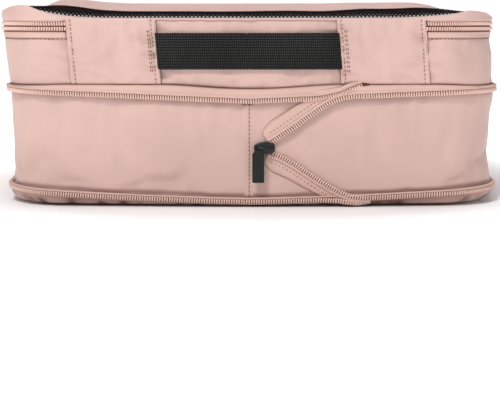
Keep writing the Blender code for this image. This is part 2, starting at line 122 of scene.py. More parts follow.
# %% Walk round the plan
def wall_at(run):
    """The outline's point and outward direction at a distance run from the front's middle."""
    left = run % ROUND
    if left < FLAT_X or left > ROUND - FLAT_X:
        x = left if left < FLAT_X else left - ROUND
        return Vector((x, -HALF_Y - SIDE_BOW * (1 - (x / FLAT_X) ** 2))), Vector((0, -1))
    left -= FLAT_X
    for quarter, flat in enumerate((FLAT_Y, FLAT_X, FLAT_Y, FLAT_X)):
        turn = quarter * math.pi / 2
        across = (FLAT_X, FLAT_Y)[quarter % 2]
        if left <= ARC:
            angle = turn - math.pi / 2 + left / CORNER
            centre = Vector((FLAT_X * (1, 1, -1, -1)[quarter], FLAT_Y * (-1, 1, 1, -1)[quarter]))
            normal = Vector((math.cos(angle), math.sin(angle)))
            return centre + normal * CORNER, normal
        left -= ARC
        if left <= 2 * flat:
            shift = left - flat
            bow = 0 if quarter == 1 else SIDE_BOW * (1 - (shift / flat) ** 2)
            normal = Vector((math.cos(turn), math.sin(turn)))
            tangent = Vector((-normal.y, normal.x))
            return normal * (across + CORNER + bow) + tangent * shift, normal
        left -= 2 * flat
    return wall_at(0)


def rise(x, side=0):
    """How far a rim lifts away from the front's middle; side is 1 for the upper, -1 for the lower."""
    s = min(1.0, abs(x) / HALF_X)
    return RIM_LIFT * s**1.15 + side * (0.45 * math.sin(math.pi * s) - 0.2 * s**4) * MM


def ease(value, low, high):
    """0 below low, 1 above high and a smooth turn between them."""
    t = max(0.0, min(1.0, (value - low) / (high - low)))
    return t * t * (3 - 2 * t)


def lean(x, y, z):
    """The sideways tilt of the seams on the handle side."""
    if y > -HALF_Y + CORNER:
        return 0.0
    fade = max(0.0, min(1.0, (HALF_X - abs(x)) / CORNER))
    return LEAN * max(0.0, min(1.0, (TOP - z) / (TOP - SEAM))) * fade


def seam_lift(x):
    """How far the seam over the upper rim lifts: less than its coil does."""
    return (2.9 * ease(abs(x), 6 * MM, 64 * MM) - 1.3 * ease(abs(x), 125 * MM, 165 * MM)) * MM


def signed(run):
    """The run as a distance left (negative) or right of the front's middle."""
    return (run + ROUND / 2) % ROUND - ROUND / 2


print("corner of the front at", tuple(round(c, 4) for c in wall_at(FLAT_X)[0]))

# %% [markdown]
# ## Cloth as a grid
# Every cloth piece starts as a grid with one column per few millimetres of run. A section
# function gives the points of one column, from its lower to its upper seam. The grid keeps a
# UV map in metres, so that a weave has the same size on every piece.


# %% Grid helpers
def new_object(name, data):
    """An object for finished data, linked to the scene."""
    made = bpy.data.objects.new(name, data)
    bpy.context.scene.collection.objects.link(made)
    return made


def grid_object(name, columns, uv_columns, closed, painted_shades=None):
    """A mesh from columns of points; uv_columns holds (u, v) for each point, one column more if closed."""
    count = len(columns)
    size = len(columns[0])
    points = [p for column in columns for p in column]
    faces = []
    corners = []
    for i in range(count if closed else count - 1):
        j = (i + 1) % count
        for k in range(size - 1):
            faces.append((i * size + k, j * size + k, j * size + k + 1, i * size + k + 1))
            uvs = (uv_columns[i][k], uv_columns[i + 1][k], uv_columns[i + 1][k + 1], uv_columns[i][k + 1])
            corners += uvs
    mesh = bpy.data.meshes.new(name)
    mesh.from_pydata([tuple(p) for p in points], [], faces)
    layer = mesh.uv_layers.new(name="cloth")
    layer.data.foreach_set("uv", np.array(corners, np.float32).ravel())
    # Painted shade: each point gets a value for how dark its cloth is painted where shade falls, in creases,
    # at seams and under lips.
    if painted_shades:
        depth = mesh.attributes.new("painted_shade", "FLOAT", "POINT")
        depth.data.foreach_set("value", np.array(painted_shades[:count], np.float32).ravel())
    mesh.shade_smooth()
    return new_object(name, mesh)


# The weights in EDGE_DARK draw a wall's edge in, and they also give its seam painted shade.
EDGE_ROWS = [0.0, 0.5 * MM, 1.1 * MM, 2.2 * MM]
EDGE_DARK = [1.0, 0.85, 0.2, 0.0]


def strip(name, start, end, step, section, leans=False, edges=False):
    """A cloth strip along the wall; section(run, x) lists (out, height, painted shade) from its lower edge.

    leans tilts it as the handle side's seams tilt, and edges adds close columns at both ends.
    """
    closed = abs(end - start - ROUND) < 1e-6
    low, high = (start + EDGE_ROWS[-1], end - EDGE_ROWS[-1]) if edges else (start, end)
    count = max(2, round((high - low) / step))
    runs = [low + (high - low) * k / count for k in range(count + 1)]
    if edges:
        runs = [start + e for e in EDGE_ROWS[:-1]] + runs + [end - e for e in EDGE_ROWS[-2::-1]]
    columns = []
    uvs = []
    painted_shades = []
    for run in runs:
        spot, normal = wall_at(run)
        column = []
        uv = []
        height = 0.0
        before = None
        places = section(run, spot.x)
        painted_shades.append([place[2] if len(place) > 2 else 0.0 for place in places])
        for out, z, *_ in places:
            flat = spot + normal * out
            shift = lean(flat.x, flat.y, z) if leans else 0.0
            point = Vector((flat.x + shift, flat.y, z))
            height += (point - before).length if before else 0.0
            before = point
            column.append(point)
            uv.append((run, height))
        columns.append(column)
        uvs.append(uv)
    return grid_object(name, columns[:-1] if closed else columns, uvs, closed, painted_shades)


def thicken(piece, thickness, levels=1):
    """Rounds a cloth grid and gives it the thickness of cloth, as a finished plain mesh."""
    if levels:
        smooth = piece.modifiers.new("round", "SUBSURF")
        smooth.levels = smooth.render_levels = levels
    solid = piece.modifiers.new("cloth", "SOLIDIFY")
    solid.thickness = thickness
    solid.offset = -1
    return settle_modifiers(piece)


def settle_modifiers(piece):
    """Replaces a piece's mesh by what its modifiers make of it."""
    seen = piece.evaluated_get(bpy.context.evaluated_depsgraph_get())
    mesh = bpy.data.meshes.new_from_object(seen)
    piece.modifiers.clear()
    piece.data = mesh
    mesh.shade_smooth()
    return piece


def emboss(piece, depth, levels=2):
    """Refines a piece and pushes its points outwards by depth(x, z), on the handle side."""
    smooth = piece.modifiers.new("round", "SUBSURF")
    smooth.levels = smooth.render_levels = levels
    settle_modifiers(piece)
    for vertex in piece.data.vertices:
        x, y, z = vertex.co
        if y < -HALF_Y + 1.5 * MM and abs(x) < FLAT_X + 6 * MM:
            vertex.co.y -= depth(x - lean(x, y, z), z)
    piece.data.update()
    return piece


waiting = []


def later(call, *values, **named):
    """Keeps a frame call that needs the finished mesh until the corners have been shifted."""
    waiting.append((call, values, named))


def wrinkle(run, z, along, up, seed=0.0):
    """A smooth value near 0, for folds that are along wide and up tall."""
    return noise.noise(Vector((run / along, z / up, seed)))


print("a free edge gets columns at", [round(e * 1000, 1) for e in EDGE_ROWS], "mm")


# %% [markdown]
# ## Materials
# The cloth is a satin polyester: a fine diagonal weave, a soft sheen and colour that drifts
# slightly over broad areas. The weave reads the UV map in metres, so its threads are 0.4 mm
# apart everywhere. Tape, binding, hem and webbing share the tree with other numbers.


# %% Cloth material
def new_material(name):
    """An empty material, with its tree and its shader."""
    made = bpy.data.materials.new(name)
    made.use_nodes = True
    tree = made.node_tree
    return made, tree, tree.nodes["Principled BSDF"]


def add(tree, kind, **values):
    """A new node with its settings."""
    node = tree.nodes.new(kind)
    for key, value in values.items():
        setattr(node, key, value)
    return node


ONE_WAVE = 0.314


def cloth_material(
    name, colour, roughness, thread, depth, sheen,
    drift=0.05, rib=(1.0, 1.0), gloss=0.35, show=0.22, warp_way="DIAGONAL",
):
    """A woven cloth; thread is the spacing in metres, depth the bump's height in metres.

    drift is how far the colour wanders, rib stretches the weave, and show is how dark its gaps are.
    """
    made, tree, shader = new_material(name)
    link = tree.links.new
    uv = add(tree, "ShaderNodeUVMap", uv_map="cloth")
    scale = add(tree, "ShaderNodeMapping")
    scale.inputs["Scale"].default_value = (rib[0] / thread, rib[1] / thread, 1)
    link(uv.outputs["UV"], scale.inputs["Vector"])
    warp = add(tree, "ShaderNodeTexWave", wave_type="BANDS", bands_direction=warp_way)
    warp.inputs["Scale"].default_value = ONE_WAVE
    warp.inputs["Distortion"].default_value = 0.6
    weft = add(tree, "ShaderNodeTexWave", wave_type="BANDS", bands_direction="Y")
    weft.inputs["Scale"].default_value = ONE_WAVE
    link(scale.outputs["Vector"], warp.inputs["Vector"])
    link(scale.outputs["Vector"], weft.inputs["Vector"])
    weave = add(tree, "ShaderNodeMath", operation="MULTIPLY")
    link(warp.outputs["Fac"], weave.inputs[0])
    link(weft.outputs["Fac"], weave.inputs[1])
    where = add(tree, "ShaderNodeTexCoord")
    cloud = add(tree, "ShaderNodeTexNoise")
    cloud.inputs["Scale"].default_value = 28
    cloud.inputs["Detail"].default_value = 3
    link(where.outputs["Object"], cloud.inputs["Vector"])
    tones = add(tree, "ShaderNodeValToRGB")
    tones.color_ramp.elements[0].position = 0.3
    tones.color_ramp.elements[0].color = (*[c * (1 - drift) for c in colour], 1)
    tones.color_ramp.elements[1].position = 0.7
    tones.color_ramp.elements[1].color = (*[min(1, c * (1 + drift)) for c in colour], 1)
    link(cloud.outputs["Fac"], tones.inputs["Fac"])
    shade = add(tree, "ShaderNodeMix", data_type="RGBA", blend_type="MULTIPLY")
    shade.inputs["Factor"].default_value = show
    link(tones.outputs["Color"], shade.inputs["A"])
    link(weave.outputs["Value"], shade.inputs["B"])
    # Painted shade: the point attribute read here mixes the colour towards a deep red-brown, for the shade in
    # creases, at seams and under lips.
    fold = add(tree, "ShaderNodeAttribute", attribute_name="painted_shade")
    deep = add(tree, "ShaderNodeMix", data_type="RGBA", blend_type="MIX")
    deep.inputs["B"].default_value = (colour[0] * 0.24, colour[1] * 0.15, colour[2] * 0.13, 1)
    link(fold.outputs["Fac"], deep.inputs["Factor"])
    link(shade.outputs["Result"], deep.inputs["A"])
    link(deep.outputs["Result"], shader.inputs["Base Color"])
    bump = add(tree, "ShaderNodeBump")
    bump.inputs["Strength"].default_value = 0.6
    bump.inputs["Distance"].default_value = depth
    link(weave.outputs["Value"], bump.inputs["Height"])
    link(bump.outputs["Normal"], shader.inputs["Normal"])
    shader.inputs["Roughness"].default_value = roughness
    shader.inputs["Sheen Weight"].default_value = sheen
    shader.inputs["Sheen Roughness"].default_value = 0.4
    shader.inputs["Specular IOR Level"].default_value = gloss
    return made


ROSE = (0.78, 0.525, 0.468)
rose_cloth = cloth_material("rose_satin", ROSE, 0.48, 0.4 * MM, 0.04 * MM, 0.10)
rose_tape = cloth_material("rose_tape", (0.80, 0.53, 0.46), 0.7, 0.7 * MM, 0.10 * MM, 0.05)
# Painted shade: the tape seen between the coil's teeth is coloured deep red-brown for the shade in the gaps
# between them, and the same dark tape paints the shadow in the notch of the left run.
painted_shade_tape = cloth_material("zip_groove_painted_shade", (0.40, 0.20, 0.155), 0.8, 0.7 * MM, 0.10 * MM, 0.0)
binding_cloth = cloth_material("rose_binding", (0.70, 0.45, 0.39), 0.7, 0.8 * MM, 0.12 * MM, 0.05)
webbing_cloth = cloth_material(
    "black_webbing", (0.060, 0.064, 0.060), 0.75, 1.5 * MM, 0.9 * MM, 0.0,
    drift=0.25, rib=(1.0, 0.8), gloss=0.1, show=0.92, warp_way="X",
)
black_hem = cloth_material("black_hem", (0.018, 0.018, 0.020), 0.7, 0.7 * MM, 0.1 * MM, 0.0, 0.2, gloss=0.0)

print("cloths", len(bpy.data.materials))

# %% [markdown]
# ## Plain finishes
# The coils are nylon, the sliders painted metal and the tabs a matt moulding. None of them has
# a weave, so one smaller tree serves them all: a fine noise that moves the colour, the gloss
# and the surface together by a little. Thread and the net's yarn use it as well.


# %% Nylon, thread and painted metal
def plain_material(name, colour, roughness, metallic=0.0, grain=0.0, grain_scale=900, gloss=0.5):
    """A moulded or painted finish with a faint grain in its surface and its gloss."""
    made, tree, shader = new_material(name)
    link = tree.links.new
    where = add(tree, "ShaderNodeTexCoord")
    fine = add(tree, "ShaderNodeTexNoise")
    fine.inputs["Scale"].default_value = grain_scale
    fine.inputs["Detail"].default_value = 4
    link(where.outputs["Object"], fine.inputs["Vector"])
    bump = add(tree, "ShaderNodeBump")
    bump.inputs["Strength"].default_value = 0.5
    bump.inputs["Distance"].default_value = grain
    link(fine.outputs["Fac"], bump.inputs["Height"])
    link(bump.outputs["Normal"], shader.inputs["Normal"])
    tones = add(tree, "ShaderNodeValToRGB")
    tones.color_ramp.elements[0].color = (*[c * 0.9 for c in colour], 1)
    tones.color_ramp.elements[1].color = (*[min(1, c * 1.1) for c in colour], 1)
    link(fine.outputs["Fac"], tones.inputs["Fac"])
    link(tones.outputs["Color"], shader.inputs["Base Color"])
    shine = add(tree, "ShaderNodeMapRange")
    shine.inputs["To Min"].default_value = roughness - 0.06
    shine.inputs["To Max"].default_value = roughness + 0.06
    link(fine.outputs["Fac"], shine.inputs["Value"])
    link(shine.outputs["Result"], shader.inputs["Roughness"])
    shader.inputs["Metallic"].default_value = metallic
    shader.inputs["Specular IOR Level"].default_value = gloss
    return made


coil_nylon = plain_material("coil_nylon", (0.80, 0.55, 0.475), 0.38, 0.0, 0.01 * MM, 500)
# The thread's dark brown is partly its own colour and partly painted shade, for the shadow in the holes where
# the stitches go into the cloth.
thread = plain_material("thread", (0.27, 0.14, 0.115), 0.7, 0.0, 0.02 * MM, 2500)
painted_metal = plain_material("painted_metal", (0.018, 0.020, 0.021), 0.38, 0.3, 0.01 * MM, 1600)
matt_tab = plain_material("matt_tab", (0.013, 0.015, 0.015), 0.5, 0.0, 0.02 * MM, 1800, gloss=0.25)
mesh_yarn = plain_material("mesh_yarn", (0.009, 0.009, 0.011), 0.8, 0.0, 0.02 * MM, 1500, gloss=0.0)
pale_back = cloth_material("pale_cloth_back", (0.72, 0.70, 0.69), 0.8, 0.7 * MM, 0.05 * MM, 0.0)
print("materials", len(bpy.data.materials))

# %% [markdown]
# ## Rows of small things
# Coil teeth and stitches repeat along a path. A small Geometry Nodes tree resamples the path
# at the pitch, turns each copy along the path and outwards, and joins them with one material.
# A line of points carries an outward direction as an attribute, so the tree knows which way
# the copies face.


# %% The repeat tree
def repeat_tree():
    """Copies Piece along a line at Pitch, each copy facing the way the line says."""
    tree = bpy.data.node_groups.new("repeat_along", "GeometryNodeTree")
    face = tree.interface
    face.new_socket("Geometry", in_out="INPUT", socket_type="NodeSocketGeometry")
    for label, kind in (("Piece", "Object"), ("Pitch", "Float"), ("Finish", "Material")):
        face.new_socket(label, in_out="INPUT", socket_type=f"NodeSocket{kind}")
    face.new_socket("Geometry", in_out="OUTPUT", socket_type="NodeSocketGeometry")
    link = tree.links.new
    inputs = tree.nodes.new("NodeGroupInput")
    result = tree.nodes.new("NodeGroupOutput")
    curve = tree.nodes.new("GeometryNodeMeshToCurve")
    even = tree.nodes.new("GeometryNodeResampleCurve")
    even.mode = "LENGTH"
    tangent = tree.nodes.new("GeometryNodeInputTangent")
    outward = tree.nodes.new("GeometryNodeInputNamedAttribute")
    outward.data_type = "FLOAT_VECTOR"
    outward.inputs["Name"].default_value = "outward"
    along = tree.nodes.new("FunctionNodeAlignRotationToVector")
    along.axis = "X"
    facing = tree.nodes.new("FunctionNodeAlignRotationToVector")
    facing.axis = "Y"
    facing.pivot_axis = "X"
    info = tree.nodes.new("GeometryNodeObjectInfo")
    place = tree.nodes.new("GeometryNodeInstanceOnPoints")
    real = tree.nodes.new("GeometryNodeRealizeInstances")
    finish = tree.nodes.new("GeometryNodeSetMaterial")
    link(inputs.outputs["Geometry"], curve.inputs["Mesh"])
    link(curve.outputs["Curve"], even.inputs["Curve"])
    link(inputs.outputs["Pitch"], even.inputs["Length"])
    link(tangent.outputs["Tangent"], along.inputs["Vector"])
    link(along.outputs["Rotation"], facing.inputs["Rotation"])
    link(outward.outputs["Attribute"], facing.inputs["Vector"])
    link(inputs.outputs["Piece"], info.inputs["Object"])
    link(even.outputs["Curve"], place.inputs["Points"])
    link(info.outputs["Geometry"], place.inputs["Instance"])
    link(facing.outputs["Rotation"], place.inputs["Rotation"])
    link(place.outputs["Instances"], real.inputs["Geometry"])
    link(real.outputs["Geometry"], finish.inputs["Geometry"])
    link(inputs.outputs["Finish"], finish.inputs["Material"])
    link(finish.outputs["Geometry"], result.inputs["Geometry"])
    return tree


REPEAT = repeat_tree()


def run_tree(piece, tree, values):
    """Lets a tree make a piece's mesh; its inputs are found by name and set by identifier."""
    nodes = piece.modifiers.new("tree", "NODES")
    nodes.node_group = tree
    for item in tree.interface.items_tree:
        if item.in_out == "INPUT" and item.name in values:
            nodes[item.identifier] = values[item.name]
    return settle_modifiers(piece)


def repeat_along(name, lines, piece, pitch, finish):
    """Copies piece along lines, each a list of (point, outward), joined into one mesh."""
    points = []
    outward = []
    edges = []
    for line in lines:
        first = len(points)
        points += [tuple(p) for p, _ in line]
        outward += [tuple(o) for _, o in line]
        edges += [(first + k, first + k + 1) for k in range(len(line) - 1)]
    mesh = bpy.data.meshes.new(name)
    mesh.from_pydata(points, edges, [])
    attribute = mesh.attributes.new("outward", "FLOAT_VECTOR", "POINT")
    attribute.data.foreach_set("vector", np.array(outward, np.float32).ravel())
    made = new_object(name, mesh)
    return run_tree(made, REPEAT, {"Piece": piece, "Pitch": pitch, "Finish": finish})


def wall_line(start, end, step, out, height, leans=False):
    """A line along the wall for rows; out and height are functions of (run, x)."""
    count = max(2, round((end - start) / step))
    line = []
    for k in range(count + 1):
        run = start + (end - start) * k / count
        spot, normal = wall_at(run)
        z = height(run, spot.x)
        flat = spot + normal * out(run, spot.x)
        shift = lean(flat.x, flat.y, z) if leans else 0.0
        line.append((Vector((flat.x + shift, flat.y, z)), Vector((normal.x, normal.y, 0))))
    return line


print("the repeat tree has", len(REPEAT.nodes), "nodes")

# %% [markdown]
# ## A tooth and a stitch
# A coil is a nylon spiral, and only the front of each turn shows. So one tooth is a short bar
# across the tape, swollen at its tip. A stitch is a thread that comes up, lies flat and goes
# down again. Both are copied hundreds of times, so each has only a few dozen faces.


# %% A tooth and a stitch to copy
def hidden(name, points, faces):
    """A small mesh that is only there to be copied."""
    mesh = bpy.data.meshes.new(name)
    mesh.from_pydata(points, [], faces)
    work = bmesh.new()
    work.from_mesh(mesh)
    bmesh.ops.recalc_face_normals(work, faces=work.faces)
    work.to_mesh(mesh)
    work.free()
    mesh.shade_smooth()
    return bpy.data.objects.new(name, mesh)


def ring_faces(rings, sides):
    """The faces of a closed bar through rings of points: its sides and its two ends."""
    faces = []
    for i in range(rings - 1):
        for k in range(sides):
            after = (k + 1) % sides
            faces.append((i * sides + k, i * sides + after, (i + 1) * sides + after, (i + 1) * sides + k))
    faces.append(tuple(range(sides)))
    faces.append(tuple(range((rings - 1) * sides, rings * sides)))
    return faces


def bar(name, rings, sides):
    """A closed bar along Z, through rings of (centre, half sizes in X and Y)."""
    points = []
    for centre, half in rings:
        for k in range(sides):
            angle = math.tau * k / sides
            x = centre[0] + half[0] * math.cos(angle)
            y = centre[1] + half[1] * math.sin(angle)
            points.append((x, y, centre[2]))
    return hidden(name, points, ring_faces(len(rings), sides))


TOOTH_SHAPE = [
    (-1.0, 0.45, 0.35),
    (-0.86, 0.85, 0.8),
    (-0.3, 0.9, 1.0),
    (0.35, 0.95, 1.0),
    (0.8, 1.12, 0.85),
    (1.0, 0.6, 0.4),
]


def tooth(name, tall, wide, deep, tip):
    """One turn of coil: a bar across the tape, rounded at the tape and thicker at its tip."""
    half = tall / 2
    rings = []
    for place, width, depth in TOOTH_SHAPE:
        slant = 0.12 * wide * place
        rings.append(((slant, 0.0, tip * place * half), (wide / 2 * width, deep / 2 * depth)))
    return bar(name, rings, 8)


def stitch_shape(name, length, wide, deep):
    """A thread that comes out of the cloth, lies along X and goes in again."""
    points = []
    stations = 7
    sides = 6
    for i in range(stations):
        t = i / (stations - 1)
        x = (t - 0.5) * length
        lift = deep * (math.sin(math.pi * t) - 0.35)
        size = wide / 2 * (0.55 + 0.45 * math.sin(math.pi * t))
        for k in range(sides):
            angle = math.tau * k / sides
            points.append((x, lift + size * math.cos(angle) * 0.7, size * math.sin(angle)))
    return hidden(name, points, ring_faces(stations, sides))


PITCH = 1.73 * MM
TEETH = 3.3 * MM
tooth_down = tooth("tooth_down", TEETH, 1.32 * MM, 2.0 * MM, 1)
tooth_up = tooth("tooth_up", TEETH, 1.32 * MM, 2.0 * MM, -1)
small_tooth_down = tooth("small_tooth_down", 2.5 * MM, 1.3 * MM, 1.8 * MM, 1)
small_tooth_up = tooth("small_tooth_up", 2.5 * MM, 1.3 * MM, 1.8 * MM, -1)
stitch = stitch_shape("stitch", 1.9 * MM, 0.75 * MM, 0.3 * MM)
STITCH_PITCH = 2.8 * MM
print("tooth faces", len(tooth_down.data.polygons))

# %% [markdown]
# ## The gusset
# The gusset is the strip of cloth between the two zip rims. It is cut a little long, so it
# hangs in soft dents between its two seams. A grid with broad, shallow folds is let go as
# cloth, held at both seams, and the folds it finds are kept.


# %% Let cloth find its folds
def relax(piece, held, slack, push, reach, frames=22, weight=0.25):
    """Runs a short cloth simulation held where held(point's number) says so.

    No point may move more than reach, in metres.
    """
    before = np.array([v.co for v in piece.data.vertices])
    group = piece.vertex_groups.new(name="sewn")
    group.add([k for k in range(len(before)) if held(k)], 1.0, "REPLACE")
    cloth = piece.modifiers.new("drape", "CLOTH")
    rules = cloth.settings
    rules.vertex_group_mass = "sewn"
    rules.quality = 6
    rules.mass = 0.15
    rules.tension_stiffness = 20
    rules.compression_stiffness = 20
    rules.shear_stiffness = 6
    rules.bending_stiffness = 0.35
    rules.air_damping = 2
    rules.shrink_min = -slack
    rules.shrink_max = -slack
    rules.use_pressure = True
    rules.uniform_pressure_force = push
    rules.effector_weights.gravity = weight
    cloth.point_cache.frame_start = 1
    cloth.point_cache.frame_end = frames
    scene = bpy.context.scene
    for k in range(1, frames + 1):
        scene.frame_set(k)
    seen = piece.evaluated_get(bpy.context.evaluated_depsgraph_get())
    after = np.array([v.co for v in seen.data.vertices])
    piece.modifiers.clear()
    piece.vertex_groups.clear()
    scene.frame_set(1)
    move = after - before
    far = np.linalg.norm(move, axis=1, keepdims=True)
    move *= np.minimum(1.0, reach / np.maximum(far, 1e-9))
    piece.data.vertices.foreach_set("co", (before + move).astype(np.float32).ravel())
    piece.data.update()
    print(piece.name, "moved at most", round(float(far.max()) * 1000, 1), "mm")
    return piece


# %% Gusset wall
GUSSET_ROWS = 26
GUSSET_TALL = 68
UPPER_TEETH = UPPER_COIL + 1.0 * MM
LOWER_TEETH = LOWER_COIL + 0.4 * MM
GUSSET_LOW = LOWER_COIL + COIL_TALL - 1.0 * MM
GUSSET_HIGH = UPPER_COIL + 3.0 * MM
TAIL_RIGHT = 78 * MM


def gusset_section(run, x):
    """Broad dents that fade out at both seams, flatter behind the start of the zip.

    GUSSET_TALL counts millimetres, for the two narrow shadows under and over the rims.
    """
    where = signed(run)
    calm = 1 - 0.75 * ease(where, -12 * MM, 4 * MM) * (1 - ease(where, TAIL_RIGHT, TAIL_RIGHT + 25 * MM))
    column = []
    for k in range(GUSSET_ROWS + 1):
        t = k / GUSSET_ROWS
        z = GUSSET_LOW + (GUSSET_HIGH - GUSSET_LOW) * t + rise(x)
        belly = math.sin(math.pi * t) ** 0.7
        broad = 4.2 * MM * wrinkle(run, z, 38 * MM, 60 * MM, 3.0)
        narrow = 2.4 * MM * wrinkle(run, z, 13 * MM, 30 * MM, 9.0) * (1.2 - t)
        near_seam = math.exp(-min(t, 1 - t) * 8)
        seam = 1.8 * MM * wrinkle(run, z, 7 * MM, 30 * MM, 12.0) * near_seam * min(1, 10 * t)
        under_upper = 0.55 * math.exp(-(((1 - t) * GUSSET_TALL - 1.2) / 1.6) ** 2)
        over_lower = 0.8 * math.exp(-((t * GUSSET_TALL - 2.2) / 1.5) ** 2)
        out = -0.9 * MM + belly * calm * (0.5 * MM + (broad + narrow)) + seam
        column.append((out, z, min(1.0, under_upper + over_lower)))
    return column


gusset = strip("gusset", 0.0, ROUND, 3 * MM, gusset_section)
size = GUSSET_ROWS + 1
relax(gusset, lambda k: k % size in (0, size - 1), slack=0.012, push=0.25, reach=3 * MM)


def keep_behind(piece, limit, left, right):
    """Holds cloth on the handle side behind what hangs in front of it, from left to right."""
    for vertex in piece.data.vertices:
        x, y = vertex.co.x, vertex.co.y
        if y < -HALF_Y + 6 * MM and left < x < right:
            front = -HALF_Y - SIDE_BOW * (1 - (x / FLAT_X) ** 2) - limit
            if y < front:
                vertex.co.y = front + (y - front) * 0.1


def hold_in(piece, size, limit):
    """Keeps a closed strip's cloth within a limit, so that both coils can meet over it."""
    vertices = piece.data.vertices
    count = len(vertices) // size
    for k, vertex in enumerate(vertices):
        spot, normal = wall_at(ROUND * (k // size) / count)
        out = (vertex.co.xy - spot).dot(normal)
        if out > limit - MM:
            shift = normal * (limit - MM + MM * math.tanh((out - limit + MM) / MM) - out)
            vertex.co.x += shift.x
            vertex.co.y += shift.y


hold_in(gusset, size, 0.4 * MM)
keep_behind(gusset, -0.5 * MM, -2 * MM, TAIL_RIGHT)
gusset.data.materials.append(rose_cloth)
thicken(gusset, 0.5 * MM)
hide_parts("gusset_wall")
CHAIN_Z = 22.3 * MM
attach(gusset, "base")
later(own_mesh, gusset, "compress", axis=(0, 0, 1), anchor=(0, 0, CHAIN_Z), keep=0.10)
later(
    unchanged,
    gusset,
    flat=(GUSSET_HIGH - GUSSET_LOW, ROUND),
    held="gathered",
    rests_on=["lower_zip_coil", "upper_zip_coil"],
)
print("gusset faces", len(gusset.data.polygons))

# %% [markdown]
# ## Lap seam of the gusset
# The gusset's two ends overlap in one upright seam on the handle side. The upper layer is a
# folded edge, so it is a narrow raised band with a row of stitches beside the fold.

# %% Lap seam
LAP_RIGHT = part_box("gusset_lap_seam")[1].x + 0.6 * MM
LAP_LEFT = LAP_RIGHT - 5.5 * MM
LAP_ROWS = 24


def lap_section(run, x):
    """A flat band that steps up over the gusset at its left and folds down at its right."""
    column = []
    edge = ease(run, LAP_RIGHT - 0.9 * MM, LAP_RIGHT)
    start = ease(run, LAP_LEFT - 3 * MM, LAP_LEFT)
    for k in range(LAP_ROWS + 1):
        t = k / LAP_ROWS
        z = GUSSET_LOW + 1.5 * MM + (UPPER_COIL + 0.5 * MM - GUSSET_LOW - 1.5 * MM) * t + rise(x)
        pucker = 0.16 * MM * math.sin(z / (1.55 * MM)) + 0.3 * MM * wrinkle(run, z, 8 * MM, 5 * MM, 2.0)
        column.append((-1.3 * MM + start * (0.9 * MM + pucker * (1 - edge)) - edge * 1.1 * MM, z))
    return column


lap = strip("lap_seam", LAP_LEFT - 3 * MM, LAP_RIGHT + 0.4 * MM, 0.45 * MM, lap_section)
lap.data.materials.append(rose_cloth)
thicken(lap, 0.4 * MM, 0)
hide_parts("gusset_lap_seam")
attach(lap, "base")
later(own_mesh, lap, "compress", axis=(0, 0, 1), anchor=(0, 0, CHAIN_Z), keep=0.10)


def upright_line(x, low, high, out):
    """A row straight up the handle side."""
    line = []
    spot, _ = wall_at(x)
    for k in range(12):
        z = low + (high - low) * k / 11
        line.append((Vector((x, spot.y - out, z)), Vector((0, -1, 0))))
    return line


lap_stitches = repeat_along(
    "lap_stitches",
    [upright_line(LAP_RIGHT - 3.4 * MM, GUSSET_LOW + 3 * MM, UPPER_COIL, 0.0)],
    stitch,
    STITCH_PITCH,
    thread,
)
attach(lap_stitches, "base")
later(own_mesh, lap_stitches, "compress", axis=(0, 0, 1), anchor=(0, 0, CHAIN_Z), keep=0.10)
print("lap seam at x", round(LAP_RIGHT * 1000, 1), "mm")

# %% [markdown]
# ## Rims of the compression zip
# Each rim is a tape that rolls outwards over its seam and ends in the coil. The upper tape is
# a rounded lip over its coil. The lower tape is folded under, so it shows as a thin lip above
# its coil. A strip behind the teeth is the tape that shows between them, coloured dark as painted shade.

# %% Upper rim


def upper_lip(run, x):
    """From the top of the teeth up over the rounded lip to the wall's seam."""
    low = UPPER_TEETH + TEETH + rise(x, 1)
    seam = SEAM + seam_lift(x)
    ripple = 0.35 * MM * wrinkle(run, 0, 9 * MM, 1, 5.0)
    span = seam - low
    # Painted shade: the third number darkens the cloth under the lip next to the teeth, and in the seam
    # above.
    return [
        (1.9 * MM, low - 0.2 * MM, 1.0),
        (2.5 * MM, low - 0.1 * MM, 0.7),
        (2.95 * MM, low + 0.5 * MM, 0.0),
        (2.9 * MM + ripple * 0.4, low + 1.1 * MM, 0.0),
        (2.55 * MM + ripple * 0.5, low + 1.5 * MM, 0.12),
        (2.9 * MM + ripple, low + span * 0.5, 0.0),
        (2.5 * MM + ripple, low + span * 0.72, 0.0),
        (1.5 * MM + ripple * 0.6, low + span * 0.92, 0.05),
        (0.1 * MM, seam, 0.8),
        (-1.0 * MM, seam + 0.3 * MM, 1.0),
    ]


def groove(low, high, side):
    """The strip of tape seen between the teeth of a coil, which is given a dark colour as painted shade."""

    def section(run, x):
        lift = rise(x, side)
        return [(0.75 * MM, low + lift), (1.15 * MM, (low + high) / 2 + lift), (0.9 * MM, high + lift)]

    return section


LEFT_END = 45 * MM
RIGHT_START = 84 * MM
upper_tape = strip("upper_rim_tape", 0.0, ROUND, 2.5 * MM, upper_lip)
upper_tape.data.materials.append(rose_tape)
thicken(upper_tape, 0.4 * MM)
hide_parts("upper_zip_tape")
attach(upper_tape, "upper_shell")
upper_section = groove(UPPER_TEETH + 0.5 * MM, UPPER_TEETH + TEETH + 0.5 * MM, 1)
upper_groove = strip("upper_rim_groove", RIGHT_START - ROUND, LEFT_END, 4 * MM, upper_section)
upper_groove.data.materials.append(painted_shade_tape)
thicken(upper_groove, 0.3 * MM, 0)
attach(upper_groove, "upper_shell")
print("upper lip faces", len(upper_tape.data.polygons))

# %% [markdown]
# ## Coils that run into the wall
# The coil that comes round from the left ends by turning up into the seam, right of the
# middle. The coil that comes round from the right carries on down the free start of the zip.
# So the two coils of a rim are one line round the back with a short curve at its left end.

# %% Upper coil
COIL_OUT = 1.75 * MM
LINE_STEP = 4 * MM


def on_coil(run, x):
    """How far out from the wall the middle of a coil lies."""
    return COIL_OUT


